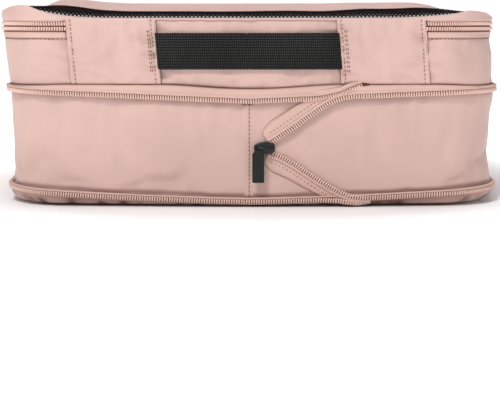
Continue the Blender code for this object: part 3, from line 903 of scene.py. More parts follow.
def smooth_line(points, count):
    """A Catmull-Rom curve through points."""
    ends = [points[0] * 2 - points[1], *points, points[-1] * 2 - points[-2]]
    line = []
    for k in range(count + 1):
        place = min(k / count * (len(points) - 1), len(points) - 1 - 1e-9)
        i = int(place)
        t = place - i
        a, b, c, d = ends[i : i + 4]
        square = (2 * a - 5 * b + 4 * c - d) * t**2
        cube = (3 * b - a - 3 * c + d) * t**3
        line.append(0.5 * ((2 * b) + (c - a) * t + square + cube))
    return line


def front_point(x, z, out):
    """A point on the handle side."""
    spot, _ = wall_at(x)
    return Vector((x, spot.y - out, z))


def front_curve(places, count):
    """A line on the handle side through (x, z, out) places."""
    line = smooth_line([front_point(*place) for place in places], count)
    return [(point, Vector((0, -1, 0))) for point in line]


upper_centre = UPPER_TEETH + TEETH / 2
upper_round = wall_line(
    RIGHT_START - ROUND, LEFT_END, LINE_STEP, on_coil, lambda run, x: upper_centre + rise(x, 1)
)
upper_end = [
    (LEFT_END, upper_centre + rise(LEFT_END, 1), COIL_OUT),
    (54 * MM, upper_centre + 3.4 * MM, 2.6 * MM),
    (63 * MM, upper_centre + 5.6 * MM, 3.2 * MM),
    (71 * MM, SEAM + 0.6 * MM, 3.0 * MM),
    (78.4 * MM, SEAM + 3.0 * MM, 0.8 * MM),
]
upper_line = upper_round + front_curve(upper_end, 20)[1:]
upper_coil = repeat_along("upper_rim_coil", [upper_line], tooth_down, PITCH, coil_nylon)
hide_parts("upper_zip_coil")
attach(upper_coil, "upper_shell")


def cloth_along(name, line, side, section, finish):
    """A strip of cloth along a curve; section(t, length) lists (across, out, painted shade)."""
    columns = []
    uvs = []
    painted_shades = []
    length = 0.0
    for k, (point, _) in enumerate(line):
        after = line[min(k + 1, len(line) - 1)][0]
        before = line[max(k - 1, 0)][0]
        along = (after - before).normalized()
        across = Vector((-along.z, 0, along.x)) * side
        length += (point - line[k - 1][0]).length if k else 0.0
        places = section(k / (len(line) - 1), length)
        columns.append([point + across * reach + Vector((0, -out, 0)) for reach, out, _ in places])
        uvs.append([(length, place[0]) for place in places])
        painted_shades.append([place[2] for place in places])
    made = grid_object(name, columns, uvs, False, painted_shades)
    if side > 0:
        made.data.flip_normals()
    made.data.materials.append(finish)
    return thicken(made, 0.35 * MM)


def end_lip(t, length):
    """The lip of the left run, which narrows as it turns into the seam."""
    wide = (5.4 - 2.6 * t) * MM
    lift = 0.3 * MM * noise.noise(Vector((length / (6 * MM), 0, 3)))
    # Painted shade: the third number darkens the lip beside the teeth and at its far edge, where it meets the
    # wall.
    return [
        (1.5 * MM, 0.3 * MM, 1.0),
        (1.75 * MM, 1.0 * MM, 0.5),
        (2.3 * MM, 1.35 * MM, 0.0),
        (2.9 * MM, 0.9 * MM, 0.1),
        (wide * 0.7 + lift, 1.1 * MM, 0.0),
        (wide, 0.7 * MM, 0.0),
        (wide + 0.5 * MM, -0.3 * MM, 0.6),
        (wide + 0.6 * MM, -1.5 * MM, 1.0),
    ]


def tuck_shadow_section(t, length):
    """A slim spindle of painted shadow, where the left run goes in under the seam."""
    swell = math.sin(math.pi * (0.1 + 0.8 * t))
    return [(r * 1.5 * MM * swell, 0.25 * MM * (1 - r * r), 1.0) for r in (-1, -0.5, 0, 0.5, 1)]


left_end = cloth_along("left_run_end", front_curve(upper_end, 24), 1, end_lip, rose_tape)
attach(left_end, "upper_shell")
tuck_shadow_places = [
    (73 * MM, SEAM + 1.0 * MM, 0.6 * MM),
    (77 * MM, SEAM + 2.4 * MM, 1.5 * MM),
    (82.5 * MM, SEAM + 3.2 * MM, 0.9 * MM),
]
# The tuck is painted shadow: a dark strip in the notch where the left run goes in under the seam.
tuck_shadow = cloth_along("left_run_tuck", front_curve(tuck_shadow_places, 8), 1, tuck_shadow_section, painted_shade_tape)
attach(tuck_shadow, "upper_shell")
print("upper coil faces", len(upper_coil.data.polygons))

# %% [markdown]
# ## The lower rim
# The lower rim is the upper one turned over, but its lip is thinner, and under the coil a
# narrow bead of tape turns in to the skirt. Its coil too has one run that ends in the seam.

# %% Lower rim


def lower_lip(run, x):
    """A thin lip of tape over the lower coil."""
    low = LOWER_TEETH + TEETH + rise(x, -1)
    ripple = 0.3 * MM * wrinkle(run, 0, 9 * MM, 1, 15.0)
    # Painted shade: the third number darkens the lip next to the teeth and where it turns in at its back.
    return [
        (1.6 * MM, low - 0.3 * MM, 1.0),
        (2.5 * MM, low - 0.15 * MM, 0.7),
        (2.95 * MM + ripple, low + 0.5 * MM, 0.0),
        (2.6 * MM + ripple, low + 0.9 * MM, 0.0),
        (1.6 * MM + ripple, low + 1.15 * MM, 0.0),
        (0.3 * MM, low + 1.2 * MM, 0.4),
        (-0.9 * MM, low + 0.9 * MM, 1.0),
    ]


def lower_bead(run, x):
    """The edge of the tape under the lower coil, where it turns in to the base."""
    low = LOWER_TEETH + rise(x, -1)
    # Painted shade: the third number darkens the bead under the coil and where it turns in to the base.
    return [
        (0.2 * MM, low - 0.6 * MM, 1.0),
        (1.5 * MM, low - 0.6 * MM, 0.8),
        (2.1 * MM, low - 0.1 * MM, 0.4),
        (1.5 * MM, low + 0.3 * MM, 1.0),
    ]


lower_tape = strip("lower_rim_lip", 0.0, ROUND, 2.5 * MM, lower_lip)
lower_tape.data.materials.append(rose_tape)
thicken(lower_tape, 0.4 * MM)
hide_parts("lower_zip_tape")
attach(lower_tape, "lower_rim")
lower_edge = strip("lower_rim_bead", 0.0, ROUND, 4 * MM, lower_bead)
lower_edge.data.materials.append(rose_tape)
thicken(lower_edge, 0.3 * MM)
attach(lower_edge, "lower_rim")
lower_section = groove(LOWER_TEETH, LOWER_TEETH + TEETH, -1)
lower_groove = strip("lower_rim_groove", RIGHT_START - ROUND, LEFT_END + 12 * MM, 4 * MM, lower_section)
lower_groove.data.materials.append(painted_shade_tape)
thicken(lower_groove, 0.3 * MM, 0)
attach(lower_groove, "lower_rim")
lower_centre = LOWER_TEETH + TEETH / 2
lower_round = wall_line(
    RIGHT_START - ROUND, LEFT_END, LINE_STEP, on_coil, lambda run, x: lower_centre + rise(x, -1)
)
lower_end = [
    (LEFT_END, lower_centre + rise(LEFT_END, -1), COIL_OUT),
    (60 * MM, lower_centre + 0.8 * MM, 2.2 * MM),
    (69 * MM, lower_centre - 0.2 * MM, 3.2 * MM),
    (77 * MM, lower_centre - 0.3 * MM, 1.8 * MM),
]
lower_line = lower_round + front_curve(lower_end, 14)[1:]
lower_coil = repeat_along("lower_rim_coil", [lower_line], tooth_up, PITCH, coil_nylon)
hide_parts("lower_zip_coil")
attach(lower_coil, "lower_rim")
print("lower coil faces", len(lower_coil.data.polygons))

# %% [markdown]
# ## The free start of the zip
# Right of the lap seam the two halves of the zip leave their rims and come together at the
# parked slider. Each half is a flat tape with its coil along one edge. On the real cube they
# fold away behind the closed zip when it is compressed.

# %% Tail coils and tapes
slider_low, slider_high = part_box("compression_slider")
SLIDER_X = (slider_low.x + slider_high.x) / 2
SLIDER_Z = (slider_low.z + slider_high.z) / 2
CAME_UP = [(28.4, 54.1), (42.5, 64.0), (53.8, 71.4), (63.0, 75.4), (73.5, 76.9)]
CAME_DOWN = [(28.4, 31.4), (42.5, 22.1), (56.6, 13.5), (68.0, 8.2), (77.0, 6.3)]


def tail_tape(side):
    """Flat tape with a rolled edge beside the teeth, tapering to its free end."""

    def section(t, length):
        wide = (9.5 * (1 - t) ** (0.5 if side > 0 else 0.9) * ease(t, -0.12, 0.1) + 3.2) * MM
        wave = 0.5 * MM * noise.noise(Vector((length / (7 * MM), 2.0, side)))
        # Painted shade: the third number darkens the tape under the teeth, in the dip beside its rolled edge
        # and at its far edge.
        return [
            (-1.2 * MM, -1.2 * MM, 1.0),
            (1.1 * MM, -0.9 * MM, 1.0),
            (1.55 * MM, 0.3 * MM, 0.8),
            (2.1 * MM, 0.75 * MM, 0.0),
            (2.9 * MM, 0.5 * MM, 0.0),
            (3.3 * MM, -0.35 * MM, 0.35),
            (4.0 * MM, -0.75 * MM, 0.0),
            (wide * 0.5 + 2.2 * MM, -1.0 * MM + wave, 0.0),
            (wide * 0.8 + 0.6 * MM, -1.3 * MM + wave, 0.0),
            (wide, -1.7 * MM, 0.25),
            (wide + 0.25 * MM, -2.4 * MM, 0.9),
        ]

    return section


for word, side, shape, path in (("upper", 1, tooth_down, CAME_UP), ("lower", -1, tooth_up, CAME_DOWN)):
    rim = upper_centre + rise(RIGHT_START, 1) if side > 0 else lower_centre + rise(RIGHT_START, -1)
    meet = SLIDER_Z + side * 2.6 * MM
    places = [(SLIDER_X + 3 * MM, meet, 1.3 * MM)]
    places += [(x * MM, z * MM, (2.0 if x < 60 else 2.4) * MM) for x, z in path]
    places.append((RIGHT_START, rim, COIL_OUT))
    line = front_curve(places, 40)
    coil = repeat_along(f"tail_coil_{word}_teeth", [line], shape, PITCH, coil_nylon)
    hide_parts(f"tail_coil_{word}")
    tape = cloth_along(f"tail_tape_{word}_cloth", line, side, tail_tape(side), rose_tape)
    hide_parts(f"tail_tape_{word}")
    seam = []
    for k in range(2, len(line) - 10):
        point, facing = line[k]
        along = (line[k + 1][0] - line[k - 1][0]).normalized()
        across = Vector((-along.z, 0, along.x)) * side
        seam.append((point + across * 6.0 * MM + Vector((0, 0.75 * MM, 0)), facing))
    stitches = repeat_along(f"tail_stitches_{word}", [seam], stitch, STITCH_PITCH, thread)
    end = line[-1][0]
    for piece in (coil, tape, stitches):
        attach(piece, "upper_shell" if side > 0 else "lower_rim")
        later(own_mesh, piece, "compress", axis=(0, 0.24, side * 0.97), anchor=(0, end.y, end.z), keep=0.10)
print("tail made")

# %% [markdown]
# ## The base
# The base panel lies flat on the floor. The skirt is the cloth that curves up from it to the
# lower rim, loose enough to gather in small folds.

# %% Skirt and base panel
BASE_INSET = HALF_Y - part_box("base_panel")[1].y
SKIRT_ROWS = 12


def skirt_section(run, x):
    """From under the base, curving up to the back of the lower coil."""
    lift = rise(x, -1)
    high = LOWER_TEETH + 0.6 * MM + lift
    column = []
    for k in range(SKIRT_ROWS + 1):
        t = k / SKIRT_ROWS
        out = -BASE_INSET - 1 * MM + (BASE_INSET + 2.2 * MM) * math.sin(math.pi / 2 * t)
        z = 0.35 * MM + (high - 0.35 * MM) * (1 - math.cos(math.pi / 2 * t)) ** 1.3
        fold = wrinkle(run, z, 11 * MM, 9 * MM, 21.0) + 0.6 * wrinkle(run, z, 5 * MM, 6 * MM, 25.0)
        gather = math.sin(math.pi * t)
        # Painted shade: dark grows towards the middle of the front, up towards the coil that overhangs the
        # skirt, and in the valleys of its folds.
        shade = (0.42 if x > 0 else 0.34) * (1 - ease(abs(x), 105 * MM, 165 * MM))
        dark = (0.22 + shade) * ease(t, 0.2, 0.9) + 0.6 * gather * max(0.0, -fold) * 2 + 0.25 * shade
        column.append((out + gather * fold * 2.2 * MM, z + gather * abs(fold) * 0.6 * MM, min(1.0, dark)))
    return column


skirt = strip("skirt", 0.0, ROUND, 2.5 * MM, skirt_section)
skirt.data.materials.append(rose_cloth)
thicken(skirt, 0.3 * MM)
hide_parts("base_skirt")
later(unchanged, skirt, flat=(BASE_INSET + 6 * MM, ROUND), held="gathered")
later(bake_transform, skirt, "base", "lower_rim", start=(0, 0, 0.5 * MM), end=(0, 0, 2.6 * MM))


def flat_cloth(name, outline, height, rings, thickness, finish):
    """A cloth disc inside an outline, with height(x, y)."""
    middle = sum(outline, Vector((0, 0))) / len(outline)
    columns = []
    uvs = []
    for edge in outline + [outline[0]]:
        column = []
        uv = []
        for k in range(rings + 1):
            spot = edge.lerp(middle, k / rings * 0.999)
            column.append(Vector((spot.x, spot.y, height(spot.x, spot.y))))
            uv.append((spot.x, spot.y))
        columns.append(column)
        uvs.append(uv)
    made = grid_object(name, columns[:-1], uvs, True)
    work = bmesh.new()
    work.from_mesh(made.data)
    bmesh.ops.remove_doubles(work, verts=work.verts, dist=0.15 * MM)
    hole = [e for e in work.edges if e.is_boundary and e.verts[0].co.xy.length < 5 * MM]
    bmesh.ops.holes_fill(work, edges=hole)
    bmesh.ops.recalc_face_normals(work, faces=work.faces)
    work.to_mesh(made.data)
    work.free()
    made.data.shade_smooth()
    made.data.materials.append(finish)
    return thicken(made, thickness, 0)


def outline_at(out, count=220):
    """The plan's outline moved outwards."""
    ring = []
    for k in range(count):
        spot, normal = wall_at(ROUND * k / count)
        ring.append(spot + normal * out)
    return ring


def floor_height(x, y):
    """The base lies flat, with waves of a quarter of a millimetre."""
    return 1.0 * MM + 0.25 * MM * noise.noise(Vector((x / 0.05, y / 0.05, 1.0)))


base_cloth = flat_cloth("base_cloth", outline_at(-BASE_INSET), floor_height, 24, 0.6 * MM, rose_cloth)
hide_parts("base_panel")
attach(base_cloth, "base")
later(
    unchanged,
    base_cloth,
    flat=(2 * (HALF_X - BASE_INSET), 2 * (HALF_Y - BASE_INSET)),
    held="laid",
    rests_on=["base_skirt"],
)
print("base inset", round(BASE_INSET * 1000, 1), "mm")

# %% [markdown]
# ## Upper walls
# The wall round the sides and the back is one strip. The handle side has two doubled panels
# with a plain panel between them, and the webbing lies in that recess. Each is held along its
# seams and let go as cloth, and its edge puckers where the stitching draws it in.


# %% Wall strips


def wall_section(start, end, low, high, base_out, belly_out, seed, rows, sunk):
    """A wall between two seams, drawn in at all four edges; sunk is how deep its side seams lie."""

    def section(run, x):
        lift = seam_lift(x)
        edge = min(run - start, end - run)
        side = float(np.interp(edge, EDGE_ROWS, EDGE_DARK))
        tall = high - low
        middle = [EDGE_ROWS[-1] + (tall - 2 * EDGE_ROWS[-1]) * k / rows for k in range(rows + 1)]
        column = []
        for height in EDGE_ROWS[:-1] + middle + [tall - e for e in EDGE_ROWS[-2::-1]]:
            t = height / tall
            z = low + height + lift * (1 - t)
            ends = float(np.interp(min(height, tall - height), EDGE_ROWS, EDGE_DARK))
            belly = math.sin(math.pi * t) ** 0.8
            fold = wrinkle(run, z, 24 * MM, 26 * MM, seed) * 3.0 * MM
            near = math.exp(-min(height, tall - height) / (6 * MM))
            gather = near * wrinkle(run, z, 6 * MM, 20 * MM, seed + 4) * 1.6 * MM * (1 - ends)
            beside = math.exp(-edge / (11 * MM))
            tug = beside * wrinkle(run, z + 0.25 * run, 30 * MM, 6.5 * MM, seed + 7) * (1 - side)
            pull = 7.0 * MM * tug
            out = base_out + (belly_out + fold) * belly * ease(edge, -1 * MM, 14 * MM) + gather + pull * belly
            out -= 1.3 * MM * ends * (1 if t < 0.5 else 0.3) + sunk * side
            # Painted shade: the third number darkens the cloth at its lower seam, along sunk side seams and
            # in the valleys of the tugged folds.
            shade = 0.9 * max(0.0, -tug - 0.06) * belly
            column.append((out, z, max(ends if t < 0.5 else 0.0, side if sunk > 0 else 0.0, shade)))
        return column

    return section


def make_wall(
    name, node, start, end, low, high, base_out, belly_out, seed, step, rows, push, sunk, finish=None
):
    section = wall_section(start, end, low, high, base_out, belly_out, seed, rows, sunk)
    wall = strip(name, start, end, step, section, leans=True, edges=True)
    size = rows + 7
    margin = 3
    last = len(wall.data.vertices) - size * margin
    relax(
        wall,
        lambda k: k % size < margin or k % size >= size - margin or k < size * margin or k >= last,
        slack=0.015,
        push=push,
        reach=2.5 * MM,
    )
    if node == "front_centre_panel":
        keep_behind(wall, 1.2 * MM, HANDLE_LEFT, HANDLE_RIGHT)
    wall.data.materials.append(rose_cloth)
    if finish:
        emboss(wall, finish)
        thicken(wall, 0.5 * MM, 0)
    else:
        thicken(wall, 0.5 * MM)
    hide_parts(node)
    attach(wall, "upper_shell")
    later(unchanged, wall, flat=(high - low, end - start), held="stretched")
    return wall


def panel_finish(left, right):
    """The folded edge, the dent of its stitch row and the pucker beside it."""

    def depth(x, z):
        edge = min(x - left, right - x)
        roll = 0.5 * math.exp(-(((edge - 1.5 * MM) / (1.0 * MM)) ** 2))
        dent = -0.4 * math.exp(-(((edge - 3.3 * MM) / (0.7 * MM)) ** 2))
        beside = 0.35 * math.exp(-abs(edge - 3.3 * MM) / (4 * MM))
        pucker = beside * noise.noise(Vector((x / (9 * MM), z / (1.8 * MM), 5)))
        return (roll + dent + pucker) * MM

    return depth


UNDERLAP = 1.2 * MM
WALL_LOW = SEAM - 0.4 * MM
make_wall(
    "side_and_back_wall", "wrap_wall", PANELS_RIGHT - UNDERLAP, ROUND + PANELS_LEFT + UNDERLAP,
    WALL_LOW, WRAP_TOP + 0.8 * MM, base_out=-0.3 * MM, belly_out=1.0 * MM, seed=31.0,
    step=3.5 * MM, rows=10, push=0.4, sunk=1.0 * MM,
)
make_wall(
    "centre_wall", "front_centre_panel", HANDLE_LEFT - UNDERLAP, HANDLE_RIGHT + UNDERLAP,
    WALL_LOW, TOP, base_out=-0.8 * MM, belly_out=1.6 * MM, seed=41.0,
    step=2.5 * MM, rows=16, push=0.3, sunk=1.0 * MM,
)
for name, node, start, end, seed in (
    ("left_handle_wall", "handle_panel_left", PANELS_LEFT, HANDLE_LEFT, 51.0),
    ("right_handle_wall", "handle_panel_right", HANDLE_RIGHT, PANELS_RIGHT, 61.0),
):
    make_wall(
        name, node, start, end,
        WALL_LOW, TOP + 0.3 * MM, base_out=1.0 * MM, belly_out=1.9 * MM, seed=seed,
        step=2.0 * MM, rows=18, push=0.5, sunk=0.0, finish=panel_finish(start, end),
    )
print("walls made")

# %% [markdown]
# ## The handle
# The handle is flat black webbing with ribs along it and a thicker edge on both sides. Its
# ends go under the two doubled panels. It is made as a left half and a right half that meet
# in the middle; on the real cube the webbing bows out when it is gripped.

# %% Webbing
web_middle = (HANDLE_LEFT + HANDLE_RIGHT) / 2
WEB_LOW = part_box("webbing_handle")[0].z
WEB_HIGH = WEB_LOW + 24.9 * MM
WEB_LOOP = 2.4 * MM


def webbing_section(run, x):
    """Across the webbing, with two round selvedges and shallow ribs."""
    column = []
    rows = 28
    for k in range(rows + 1):
        t = k / rows
        z = WEB_LOW + (WEB_HIGH - WEB_LOW) * t
        selvedge = 0.25 * MM * (math.exp(-((t - 0.03) / 0.03) ** 2) + math.exp(-((t - 0.97) / 0.03) ** 2))
        bend = 0.35 * MM * wrinkle(run, z, 50 * MM, 40 * MM, 71.0)
        at_edge = math.exp(-t * 30) - math.exp((t - 1) * 30)
        loops = 0.22 * MM * math.sin(math.tau * run / WEB_LOOP) * at_edge
        column.append((3.3 * MM + selvedge + bend, z - loops))
    return column


for word, start, end, first, second in (
    ("left", HANDLE_LEFT - 1 * MM, web_middle, HANDLE_LEFT, web_middle),
    ("right", web_middle, HANDLE_RIGHT + 1 * MM, HANDLE_RIGHT, web_middle),
):
    web = strip(f"webbing_{word}", start, end, 0.8 * MM, webbing_section, leans=True)
    web.data.materials.append(webbing_cloth)
    thicken(web, 1.3 * MM)
    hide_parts("webbing_handle")
    later(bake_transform, web, "upper_shell", "handle", start=(first, 0, 0), end=(second, 0, 0))
print("webbing", round((WEB_HIGH - WEB_LOW) * 1000, 1), "mm wide")

# %% [markdown]
# ## Topstitching
# A row of thread runs beside each upright edge of a doubled panel. Two more rows lie close
# beside the inner one over the webbing's height, so three rows hold the webbing's end. A row
# also runs round the wall just under the main zip.

# %% Stitch rows


PROUD = 0.05 * MM


def panel_row(x_top, low, high):
    """An upright row on a handle panel that leans as its seam does."""
    line = []
    spot, _ = wall_at(x_top)
    for k in range(16):
        t = k / 15
        z = low + (high - low) * t
        x = x_top + lean(x_top, spot.y, z)
        line.append((Vector((x, spot.y, z)), Vector((0, -1, 0))))
    return line


def surface_row(wall_name, line, proud):
    """Lays a row on the wall's real surface, which the simulation has moved."""
    wall = bpy.data.objects[wall_name]
    laid = []
    for point, facing in line:
        hit, place, _, _ = wall.ray_cast(point + facing * 0.02, -facing, distance=0.04)
        laid.append((place + facing * proud if hit else point, facing))
    return laid


rows = []
for wall_name, outer, inner, sign in (
    ("left_handle_wall", PANELS_LEFT, HANDLE_LEFT, 1),
    ("right_handle_wall", PANELS_RIGHT, HANDLE_RIGHT, -1),
):
    for edge, away in ((outer, sign), (inner, -sign)):
        row = panel_row(edge + away * 3.2 * MM, SEAM + 1 * MM, TOP - 1 * MM)
        rows.append(surface_row(wall_name, row, PROUD))
    for offset in (5.0, 6.2):
        x = inner - sign * offset * MM
        rows.append(surface_row(wall_name, panel_row(x, WEB_LOW - 1 * MM, WEB_HIGH + 1 * MM), PROUD))
panel_stitches = repeat_along("panel_stitches", rows, stitch, STITCH_PITCH, thread)
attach(panel_stitches, "upper_shell")
zip_row = wall_line(
    PANELS_RIGHT + 1 * MM,
    ROUND + PANELS_LEFT - 1 * MM,
    LINE_STEP,
    lambda run, x: 0,
    lambda run, x: WRAP_TOP - 0.9 * MM,
    leans=True,
)
zip_rows = [surface_row("side_and_back_wall", zip_row, PROUD)]
zip_stitches = repeat_along("zip_stitches", zip_rows, stitch, STITCH_PITCH, thread)
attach(zip_stitches, "upper_shell")
print("stitch rows", len(rows) + 1)

# %% [markdown]
# ## The main zip
# The main zip closes the lid round the sides and the back. Its lower tape and coil belong to
# the walls and its upper tape and coil to the lid. Shut, the two coils meet in a zigzag.

# %% Main zip
MAIN_START = PANELS_RIGHT + 0.5 * MM
MAIN_END = ROUND + PANELS_LEFT - 0.5 * MM
main_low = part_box("main_zip_lower_coil")[0].z
lid_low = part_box("main_zip_upper_coil")[0].z
MAIN_MIDDLE = (main_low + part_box("main_zip_upper_coil")[1].z) / 2


def main_tape_section(run, x):
    """The lower tape, from the wall's seam up to its coil."""
    # Painted shade: the third number darkens the tape at the wall's seam and beside the teeth.
    return [
        (0.6 * MM, WRAP_TOP - 0.4 * MM, 0.5),
        (1.1 * MM, WRAP_TOP + 0.4 * MM, 0.0),
        (1.0 * MM, WRAP_TOP + 2.4 * MM, 0.0),
        (1.5 * MM, main_low - 1.1 * MM, 0.0),
        (2.0 * MM, main_low - 0.5 * MM, 0.3),
        (0.9 * MM, main_low, 1.0),
    ]


def main_groove_section(run, x):
    """The gap behind the lower teeth, a strip of tape coloured dark as painted shade."""
    return [(0.9 * MM, main_low), (0.9 * MM, MAIN_MIDDLE)]


def lid_groove_section(run, x):
    """The gap behind the upper teeth, a strip of tape coloured dark as painted shade."""
    return [(0.9 * MM, MAIN_MIDDLE), (0.9 * MM, lid_low + 2.9 * MM)]


for name, node, body, section, finish in (
    ("main_lower_tape", "main_zip_lower_tape", "upper_shell", main_tape_section, rose_tape),
    ("main_lower_groove", None, "upper_shell", main_groove_section, painted_shade_tape),
    ("main_upper_groove", None, "lid", lid_groove_section, painted_shade_tape),
):
    piece = strip(name, MAIN_START, MAIN_END, 4 * MM, section, leans=True)
    piece.data.materials.append(finish)
    thicken(piece, 0.3 * MM)
    if node:
        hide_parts(node)
    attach(piece, body)
for name, node, body, shape, centre, shift in (
    ("main_lower_teeth", "main_zip_lower_coil", "upper_shell", small_tooth_up, MAIN_MIDDLE - 1.75 * MM, 0.0),
    ("main_upper_teeth", "main_zip_upper_coil", "lid", small_tooth_down, MAIN_MIDDLE + 1.75 * MM, PITCH / 2),
):
    line = wall_line(MAIN_START + shift, MAIN_END, LINE_STEP, on_coil, lambda run, x, c=centre: c, leans=True)
    teeth = repeat_along(name, [line], shape, PITCH, coil_nylon)
    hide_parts(node)
    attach(teeth, body)
print("main zip at height", round(MAIN_MIDDLE * 1000, 1), "mm")

# %% [markdown]
# ## The lid
# The lid is a frame of cloth round a window of black mesh. It is filled from below, so it
# crowns, highest towards the back. One height function serves the cloth and the mesh.

# %% Height of the lid
LID_EDGE = TOP + 0.2 * MM
WINDOW_FRONT = (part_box("mesh_window")[0].y + HALF_Y) / (2 * HALF_Y)
print("window starts", round(WINDOW_FRONT * 2 * HALF_Y * 1000, 1), "mm behind the wall")
LID_PROFILE = [
    (0.0, 0.0),
    (WINDOW_FRONT - 0.003, 0.5),
    (WINDOW_FRONT + 0.022, 3.9),
    (WINDOW_FRONT + 0.05, 4.1),
    (0.45, 4.3),
    (0.79, 5.0),
    (0.86, 8.6),
    (0.92, 12.0),
    (0.96, 10.6),
    (1.0, 0.0),
]


def lid_height(x, y):
    """The crown over the lid's edge, with soft waves in the cloth."""
    u = min(1.0, abs(x) / HALF_X)
    v = max(0.0, min(1.0, (y + HALF_Y) / (2 * HALF_Y)))
    for (a, low), (b, high) in zip(LID_PROFILE, LID_PROFILE[1:]):
        if v <= b:
            crown = low + (high - low) * ease(v, a, b) * 0.35 + (high - low) * (v - a) / (b - a) * 0.65
            break
    corner = 3.0 * ease(u, 0.55, 0.95) + (3.6 if x < 0 else 0.8) * ease(u, 0.70, 0.95)
    crest = 3.0 * ease(x, 55 * MM, 90 * MM) * (1 - ease(x, 135 * MM, 160 * MM)) * math.sin(math.pi * v)
    wave = 1.0 * noise.noise(Vector((x / 0.06, y / 0.07, 4.0))) * math.sin(math.pi * v)
    return LID_EDGE + (crown * (1 - u ** (16 if x < 0 else 7)) + corner + crest + wave * (1 - u**4)) * MM


def window_outline(grow, count=360):
    """The mesh window's edge, moved outwards by grow, matched to the lid's outline."""
    low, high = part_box("mesh_window")
    middle = Vector(((low.x + high.x) / 2, (low.y + high.y) / 2))
    half = Vector(((high.x - low.x) / 2, (high.y - low.y) / 2))
    radius = 26 * MM
    ring = []
    for k in range(count):
        spot, normal = wall_at(ROUND * k / count)
        centre = spot - normal * CORNER
        core = Vector((max(-1, min(1, centre.x / FLAT_X)), max(-1, min(1, centre.y / FLAT_Y))))
        flat = Vector((half.x - radius, half.y - radius))
        ring.append(middle + core * flat + normal * (radius + grow))
    return ring

# %% [markdown]
# ## The lid's cloth frame
# On the sides and the back the cloth starts over the main zip and turns in round a soft
# shoulder. On the handle side the lid is sewn on, so there it starts flat at the wall's top.
# Each column of the grid runs from that edge to the window, at the lid's own height.


# %% Cloth rim of the lid
def lid_rim():
    """From over the main zip, round a soft shoulder and in to the window."""
    count = 360
    inner = window_outline(0.0, count)
    columns = []
    uvs = []
    for k in range(count + 1):
        run = ROUND * k / count
        spot, normal = wall_at(run)
        target = inner[k % count]
        where = signed(run)
        past_left = ease(where, PANELS_LEFT - 2 * MM, PANELS_LEFT + 2 * MM)
        past_right = ease(where, PANELS_RIGHT - 2 * MM, PANELS_RIGHT + 2 * MM)
        at_front = past_left * (1 - past_right)
        pucker = 0.35 * MM * wrinkle(run, 0, 7 * MM, 1, 81.0)
        shoulder = [
            (1.0 * MM, MAIN_MIDDLE + 2.9 * MM),
            (1.9 * MM, MAIN_MIDDLE + 3.4 * MM),
            (2.6 * MM + pucker, MAIN_MIDDLE + 4.6 * MM),
            (2.3 * MM + pucker, MAIN_MIDDLE + 6.2 * MM),
        ]
        front = [
            (0.1 * MM, TOP - 0.6 * MM),
            (0.3 * MM, TOP - 0.3 * MM),
            (0.3 * MM, TOP),
            (0.0, TOP + 0.2 * MM),
        ]
        puff = 5.0 * MM * ease(-spot.x, 140 * MM, 168 * MM)
        shoulder = [(a, b + puff * share) for (a, b), share in zip(shoulder, (0.0, 0.05, 0.35, 1.0))]
        column = []
        for (a, b), (c, d) in zip(shoulder, front):
            out = a + (c - a) * at_front
            z = b + (d - b) * at_front
            flat = spot + normal * out
            column.append(Vector((flat.x, flat.y, z)))
        rows = 12
        for j in range(1, rows + 1):
            s = j / rows
            flat = spot.lerp(target, s**1.3)
            z = lid_height(flat.x, flat.y)
            settle = math.exp(-s * rows / 2.0)
            z = z * (1 - settle * 0.5) + column[3].z * settle * 0.5
            column.append(Vector((flat.x, flat.y, z)))
        uv = []
        length = 0.0
        for j, point in enumerate(column):
            length += (point - column[j - 1]).length if j else 0.0
            uv.append((run, length))
        columns.append(column)
        uvs.append(uv)
    rim = grid_object("lid_cloth", columns[:-1], uvs, True)
    rim.data.materials.append(rose_cloth)
    return thicken(rim, 0.6 * MM)


rim = lid_rim()
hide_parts("lid_rim", "main_zip_upper_tape")
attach(rim, "lid")
print("lid cloth faces", len(rim.data.polygons))

# %% [markdown]
# ## The mesh window
# The window is a knitted net with a round hole every few millimetres. Each hole is one small
# six-sided cell, and Geometry Nodes sets a cell on every point of a honeycomb, so the net is
# real geometry and light comes through its holes. The joined net is then lifted onto the
# lid's crown.

# %% The net
HOLE_PITCH = 2.7 * MM
HOLE = 0.78 * MM


def cell_mesh(pitch, hole):
    """One six-sided cell of net round a hole."""
    outer = pitch / math.sqrt(3)
    points = []
    for radius in (outer, hole):
        for k in range(6):
            angle = math.pi / 6 + math.pi / 3 * k
            points.append((radius * math.cos(angle), radius * math.sin(angle), 0.0))
    faces = [(k, (k + 1) % 6, 6 + (k + 1) % 6, 6 + k) for k in range(6)]
    return hidden("net_cell", points, faces)


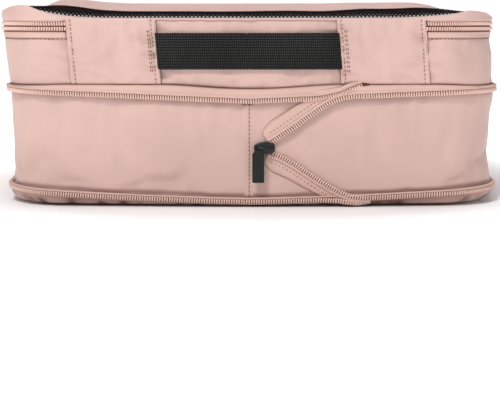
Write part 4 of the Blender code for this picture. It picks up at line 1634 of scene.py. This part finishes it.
def scatter_tree():
    """Sets Cell on every point and welds the cells into one net."""
    tree = bpy.data.node_groups.new("net_of_cells", "GeometryNodeTree")
    face = tree.interface
    face.new_socket("Geometry", in_out="INPUT", socket_type="NodeSocketGeometry")
    for label, kind in (("Cell", "Object"), ("Weld", "Float"), ("Finish", "Material")):
        face.new_socket(label, in_out="INPUT", socket_type=f"NodeSocket{kind}")
    face.new_socket("Geometry", in_out="OUTPUT", socket_type="NodeSocketGeometry")
    link = tree.links.new
    inputs = tree.nodes.new("NodeGroupInput")
    result = tree.nodes.new("NodeGroupOutput")
    info = tree.nodes.new("GeometryNodeObjectInfo")
    place = tree.nodes.new("GeometryNodeInstanceOnPoints")
    real = tree.nodes.new("GeometryNodeRealizeInstances")
    weld = tree.nodes.new("GeometryNodeMergeByDistance")
    finish = tree.nodes.new("GeometryNodeSetMaterial")
    link(inputs.outputs["Geometry"], place.inputs["Points"])
    link(inputs.outputs["Cell"], info.inputs["Object"])
    link(info.outputs["Geometry"], place.inputs["Instance"])
    link(place.outputs["Instances"], real.inputs["Geometry"])
    link(real.outputs["Geometry"], weld.inputs["Geometry"])
    link(inputs.outputs["Weld"], weld.inputs["Distance"])
    link(weld.outputs["Geometry"], finish.inputs["Geometry"])
    link(inputs.outputs["Finish"], finish.inputs["Material"])
    link(finish.outputs["Geometry"], result.inputs["Geometry"])
    return tree


def inside(point, outline):
    """Whether a point lies inside a closed outline."""
    odd = False
    for a, b in zip(outline, outline[1:] + outline[:1]):
        if (a.y > point.y) != (b.y > point.y):
            if point.x < a.x + (b.x - a.x) * (point.y - a.y) / (b.y - a.y):
                odd = not odd
    return odd


def make_net():
    """The net under the lid's opening, and how many holes it has."""
    outline = window_outline(2.0 * MM, 120)
    low_x, high_x = min(p.x for p in outline), max(p.x for p in outline)
    low_y, high_y = min(p.y for p in outline), max(p.y for p in outline)
    row = HOLE_PITCH * math.sqrt(3) / 2
    points = []
    for j in range(int((high_y - low_y) / row) + 1):
        y = low_y + j * row
        for i in range(int((high_x - low_x) / HOLE_PITCH) + 2):
            spot = Vector((low_x + (i + (j % 2) / 2) * HOLE_PITCH, y))
            if inside(spot, outline):
                points.append((spot.x, spot.y, 0.0))
    mesh = bpy.data.meshes.new("window_net")
    mesh.from_pydata(points, [], [])
    net = new_object("window_net", mesh)
    values = {"Cell": cell_mesh(HOLE_PITCH, HOLE), "Weld": 0.05 * MM, "Finish": mesh_yarn}
    run_tree(net, scatter_tree(), values)
    for vertex in net.data.vertices:
        vertex.co.z = lid_height(vertex.co.x, vertex.co.y) - 0.9 * MM
    net.data.update()
    return net, len(points)


net, holes = make_net()
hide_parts("mesh_window", "window_binding")
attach(net, "lid")
print("net with", holes, "holes")

# %% [markdown]
# ## Hem of the window
# The net's edge is bound from below with black tape. Along the front the pale back of the
# cloth's seam allowance lies under the net and shows through its holes as small light dots.

# %% Hem under the window's edge


HEM_ROWS = 8


def hem_between(name, inner, outer, drop, thickness, finish, reach=None):
    """A strip between two outlines, drop under the lid.

    It goes all the way round, or reach points to each side of the front's middle.
    """
    columns = []
    uvs = []
    count = len(inner)
    for k in range(count + 1) if reach is None else range(-reach, reach + 1):
        a, b = inner[k % count], outer[k % count]
        column = []
        for j in range(HEM_ROWS + 1):
            spot = a.lerp(b, j / HEM_ROWS)
            column.append(Vector((spot.x, spot.y, lid_height(spot.x, spot.y) - drop)))
        columns.append(column)
        uvs.append([(ROUND * k / count, j * 0.8 * MM) for j in range(HEM_ROWS + 1)])
    closed = reach is None
    made = grid_object(name, columns[:-1] if closed else columns, uvs, closed)
    made.data.materials.append(finish)
    return thicken(made, thickness, 0)


hem = hem_between(
    "window_hem", window_outline(-0.6 * MM), window_outline(3.0 * MM),
    drop=1.8 * MM, thickness=0.4 * MM, finish=black_hem,
)
stay = hem_between(
    "window_stay", window_outline(-5.5 * MM), window_outline(0.5 * MM),
    drop=1.35 * MM, thickness=0.1 * MM, finish=pale_back, reach=66,
)
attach(stay, "lid")
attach(hem, "lid")
print("hem and stay faces", len(hem.data.polygons), len(stay.data.polygons))

# %% [markdown]
# ## Bindings inside
# The raw edges of three seams are bound with a folded tape, which shows when the lid is open.

# %% Bindings


def binding_section(node, out, share):
    """A bowed tape that stands on the binding's own foot; share is its part of the rims' lift."""
    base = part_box(node)[0].z
    tall = 6 * MM
    rows = 4

    def section(run, x):
        lift = rise(x) * share
        ripple = 0.3 * MM * wrinkle(run, 0, 12 * MM, 1, 91.0)
        column = []
        for k in range(rows + 1):
            bow = 0.25 * MM * math.sin(math.pi * k / rows)
            column.append((out + ripple * k / rows + bow, base + tall * k / rows + lift))
        return column

    return section


for name, node, body, out, share, start, end in (
    ("base_binding", "base_seam_binding", "base", -BASE_INSET - 1.5 * MM, 0.0, 0.0, ROUND),
    ("upper_binding", "upper_seam_binding", "upper_shell", -3.2 * MM, 1.0, 0.0, ROUND),
    ("hinge_binding", "hinge_seam_binding", "upper_shell", -3.2 * MM, 0.0, PANELS_LEFT, PANELS_RIGHT),
):
    piece = strip(name, start, end, 5 * MM, binding_section(node, out, share))
    piece.data.materials.append(binding_cloth)
    thicken(piece, 0.9 * MM)
    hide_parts(node)
    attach(piece, body)
print("bindings made")

# %% [markdown]
# ## Sliders and pull tabs
# Each slider is a rounded shield of painted metal with an arch over it, and a flat tab hangs
# from the arch. The solids' places are read from their boxes, and the shapes are cut from
# outlines with bevelled edges.


# %% Slider shapes
def slab_object(name, outline, near, far, bevel, finish):
    """An outline in the XZ plane between two distances towards the viewer, with soft edges."""
    work = bmesh.new()
    back = [work.verts.new((x, -near, z)) for x, z in outline]
    face = work.faces.new(back)
    grown = bmesh.ops.extrude_face_region(work, geom=[face])
    moved = [g for g in grown["geom"] if isinstance(g, bmesh.types.BMVert)]
    bmesh.ops.translate(work, verts=moved, vec=(0, near - far, 0))
    bmesh.ops.recalc_face_normals(work, faces=work.faces)
    mesh = bpy.data.meshes.new(name)
    work.to_mesh(mesh)
    work.free()
    mesh.materials.append(finish)
    made = new_object(name, mesh)
    soft = made.modifiers.new("soft", "BEVEL")
    soft.width = bevel
    soft.segments = 3
    soft.limit_method = "ANGLE"
    return settle_modifiers(made)


def rounded_outline(half_x, half_z, radius, centre=(0.0, 0.0), steps=6):
    """A rectangle with round corners."""
    outline = []
    for quarter, (sx, sz) in enumerate(((1, 1), (-1, 1), (-1, -1), (1, -1))):
        for k in range(steps + 1):
            angle = math.pi / 2 * (quarter + k / steps)
            x = sx * (half_x - radius) + radius * math.cos(angle)
            z = sz * (half_z - radius) + radius * math.sin(angle)
            outline.append((centre[0] + x, centre[1] + z))
    return outline


def shield_outline():
    """A slider seen from the front: wide where the coils enter, narrow where they leave."""
    outline = []
    for k in range(40):
        angle = math.tau * k / 40
        x = 7.4 * MM * math.cos(angle)
        wide = 4.9 * MM * (0.86 + 0.14 * math.cos(angle))
        z = math.copysign(abs(math.sin(angle)) ** 0.75, math.sin(angle)) * wide
        outline.append((x, z))
    return outline


def tube(name, points, radius, finish, sides=10):
    """A round wire along points."""
    curve = bpy.data.curves.new(name, "CURVE")
    curve.dimensions = "3D"
    spline = curve.splines.new("POLY")
    spline.points.add(len(points) - 1)
    for spot, point in zip(spline.points, points):
        spot.co = (*point, 1)
    curve.bevel_depth = radius
    curve.bevel_resolution = sides // 2 - 1
    curve.use_fill_caps = True
    made = new_object(name, curve)
    seen = made.evaluated_get(bpy.context.evaluated_depsgraph_get())
    mesh = bpy.data.meshes.new_from_object(seen)
    bpy.data.objects.remove(made)
    mesh.materials.clear()
    mesh.materials.append(finish)
    mesh.shade_smooth()
    return new_object(name, mesh)


def join(name, pieces):
    """One object from several meshes that share their frame."""
    work = bmesh.new()
    for piece in pieces:
        work.from_mesh(piece.data)
    mesh = bpy.data.meshes.new(name)
    work.to_mesh(mesh)
    work.free()
    for finish in pieces[0].data.materials:
        mesh.materials.append(finish)
    mesh.shade_smooth()
    mesh.set_sharp_from_angle(angle=math.radians(50))
    for piece in pieces:
        bpy.data.objects.remove(piece)
    return new_object(name, mesh)


def slider_piece(name):
    """Face plate, back plate, nose and arch, with the chain's centre at the origin."""
    face = slab_object("face", shield_outline(), 1.3 * MM, 2.5 * MM, 0.45 * MM, painted_metal)
    back = slab_object("back", shield_outline(), -1.9 * MM, -1.3 * MM, 0.2 * MM, painted_metal)
    nose_outline = rounded_outline(1.6 * MM, 1.3 * MM, 0.6 * MM, (5.0 * MM, 0))
    nose = slab_object("nose", nose_outline, -1.4 * MM, 1.5 * MM, 0.2 * MM, painted_metal)
    arch = []
    for k in range(21):
        t = k / 20
        x = -6.6 * MM + 13.2 * MM * t
        tall = 1.9 * MM + 2.9 * MM * math.sin(math.pi * t) ** 0.45
        arch.append((x, -tall, 0.5 * MM * math.sin(math.tau * t)))
    wire = tube("arch", arch, 0.9 * MM, painted_metal)
    ridge_outline = rounded_outline(6.2 * MM, 2.6 * MM, 1.9 * MM)
    ridge = slab_object("ridge", ridge_outline, 2.4 * MM, 3.0 * MM, 0.3 * MM, painted_metal)
    return join(name, [face, back, nose, wire, ridge])


def tab_piece(name):
    """A flat tab with a loop at its top, hanging from the origin."""
    plate_outline = rounded_outline(4.15 * MM, 10.4 * MM, 0.9 * MM, (0, -13.4 * MM))
    plate = slab_object("plate", plate_outline, -1.0 * MM, 1.0 * MM, 0.35 * MM, matt_tab)
    neck_outline = rounded_outline(3.1 * MM, 1.6 * MM, 0.8 * MM, (0, -3.0 * MM))
    neck = slab_object("neck", neck_outline, -0.8 * MM, 0.8 * MM, 0.3 * MM, matt_tab)
    loop = []
    for k in range(25):
        angle = math.tau * k / 24
        x = 2.1 * MM * math.sin(angle) * 0.9
        loop.append((x, 0.3 * MM * math.cos(angle), -0.4 * MM + 2.3 * MM * math.cos(angle)))
    wire = tube("loop", loop, 0.65 * MM, matt_tab)
    return join(name, [plate, neck, wire])


def set_at(piece, place, turned):
    """Moves a mesh to its place, turned round for the back of the cube."""
    for vertex in piece.data.vertices:
        if turned:
            vertex.co.x, vertex.co.y = -vertex.co.x, -vertex.co.y
        vertex.co += place
    piece.data.update()


PIN_OUT = 4.6 * MM
for word in ("compression", "main_left", "main_right"):
    low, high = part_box(f"{word}_slider")
    turned = word != "compression"
    middle = (low + high) / 2
    pin = next(j for j in frame["joints"] if j["name"] == f"{word}_tab_swing")["pos_m"]
    chain = Vector((middle.x, pin[1] + (-PIN_OUT if turned else PIN_OUT), middle.z))
    body = slider_piece(f"{word}_slider_body")
    set_at(body, chain, turned)
    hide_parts(f"{word}_slider")
    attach(body, f"{word}_slider")
    tab = tab_piece(f"{word}_tab")
    set_at(tab, Vector(pin), turned)
    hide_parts(f"{word}_pull_tab")
    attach(tab, f"{word}_pull_tab")
print("sliders made")

# %% [markdown]
# ## Where the corners flare
# A filled cube does not stand quite straight. The lid sits a little to the left of the body,
# and both rims stand out further at the right corners. One soft shift of all the finished
# meshes does that, so pieces that touch keep touching.


# %% Shift the corners
FLARE_START = 128 * MM
FLARE_END = 166 * MM


def flare(spot):
    """The sideways shift of a point at the cube's corners."""
    left = ease(-spot.x, FLARE_START, FLARE_END)
    right = ease(spot.x, FLARE_START, FLARE_END)
    lid_part = ease(spot.z, 88 * MM, 121 * MM)
    upper_part = math.exp(-(((spot.z - UPPER_COIL - 6 * MM) / (11 * MM)) ** 2))
    lower_part = math.exp(-(((spot.z - LOWER_COIL - 9 * MM) / (11 * MM)) ** 2))
    rim_part = upper_part + lower_part
    return -2.6 * MM * left * lid_part - 1.6 * MM * right * lid_part + 2.8 * MM * right * rim_part


shifted = 0
for piece in bpy.context.scene.objects:
    if piece.type == "MESH" and piece not in given:
        for vertex in piece.data.vertices:
            if abs(vertex.co.x) > FLARE_START:
                vertex.co.x += flare(vertex.co)
        piece.data.update()
        shifted += 1
for call, values, named in waiting:
    call(*values, **named)
print("meshes shifted", shifted, "calls made", len(waiting))

# %% [markdown]
# ## Studio
# A white floor under a white sky, a key light in front on the upper left, a weaker light from
# above, and a camera a little under a metre away, level with the lid and tilted down.

# %% Floor, light and camera
floor_mesh = bpy.data.meshes.new("floor")
floor_mesh.from_pydata([(-6, -6, 0), (6, -6, 0), (6, 6, 0), (-6, 6, 0)], [], [(0, 1, 2, 3)])
floor = bpy.data.objects.new("floor", floor_mesh)
floor_finish, floor_tree, floor_shader = new_material("studio_floor")
floor_shader.inputs["Base Color"].default_value = (0.93, 0.93, 0.93, 1)
floor_shader.inputs["Roughness"].default_value = 0.9
floor_shader.inputs["Emission Color"].default_value = (1, 1, 1, 1)
where = add(floor_tree, "ShaderNodeTexCoord")
far = add(floor_tree, "ShaderNodeVectorMath", operation="LENGTH")
floor_tree.links.new(where.outputs["Object"], far.inputs[0])
fade = add(floor_tree, "ShaderNodeMapRange")
fade.inputs["From Min"].default_value = 0.18
fade.inputs["From Max"].default_value = 0.40
fade.inputs["To Min"].default_value = 0.0
fade.inputs["To Max"].default_value = 0.75
floor_tree.links.new(far.outputs["Value"], fade.inputs["Value"])
floor_tree.links.new(fade.outputs["Result"], floor_shader.inputs["Emission Strength"])
floor_mesh.materials.append(floor_finish)
bpy.context.scene.collection.objects.link(floor)
floor.location.z = -0.2 * MM

world = bpy.data.worlds.new("studio")
bpy.context.scene.world = world
world.use_nodes = True
sky = world.node_tree
glow = sky.nodes["Background"]
glow.inputs["Color"].default_value = (1, 1, 1, 1)
glow.inputs["Strength"].default_value = 0.37
seen_sky = sky.nodes.new("ShaderNodeBackground")
seen_sky.inputs["Color"].default_value = (1, 1, 1, 1)
seen_sky.inputs["Strength"].default_value = 1.05
ray = sky.nodes.new("ShaderNodeLightPath")
which = sky.nodes.new("ShaderNodeMixShader")
sky.links.new(ray.outputs["Is Camera Ray"], which.inputs["Fac"])
sky.links.new(glow.outputs["Background"], which.inputs[1])
sky.links.new(seen_sky.outputs["Background"], which.inputs[2])
sky.links.new(which.outputs["Shader"], sky.nodes["World Output"].inputs["Surface"])


def area_light(name, place, target, size, power):
    """A rectangular light that looks at a target."""
    data = bpy.data.lights.new(name, "AREA")
    data.shape = "RECTANGLE"
    data.size, data.size_y = size
    data.energy = power
    light = new_object(name, data)
    light.location = place
    aim = Vector(target) - Vector(place)
    light.rotation_euler = aim.to_track_quat("-Z", "Y").to_euler()


area_light("key", (-0.40, -1.05, 1.45), (0, -0.1, 0.06), (0.4, 0.25), 17.0)
area_light("top", (0.1, 0.3, 1.5), (0, 0, 0.1), (1.0, 0.8), 7)

DISTANCE = 0.95
EYE = 0.137
TILT_DOWN = 8.1
camera_data = bpy.data.cameras.new("camera")
camera_data.sensor_width = 36
camera_data.lens = 98.9
camera = new_object("camera", camera_data)
front = -HALF_Y - SIDE_BOW
camera.location = (0, front - DISTANCE, EYE)
camera.rotation_euler = (math.radians(90 - TILT_DOWN), 0, 0)
bpy.context.scene.camera = camera
bpy.context.scene.view_settings.view_transform = "Standard"
print("camera at", tuple(round(c, 3) for c in camera.location))
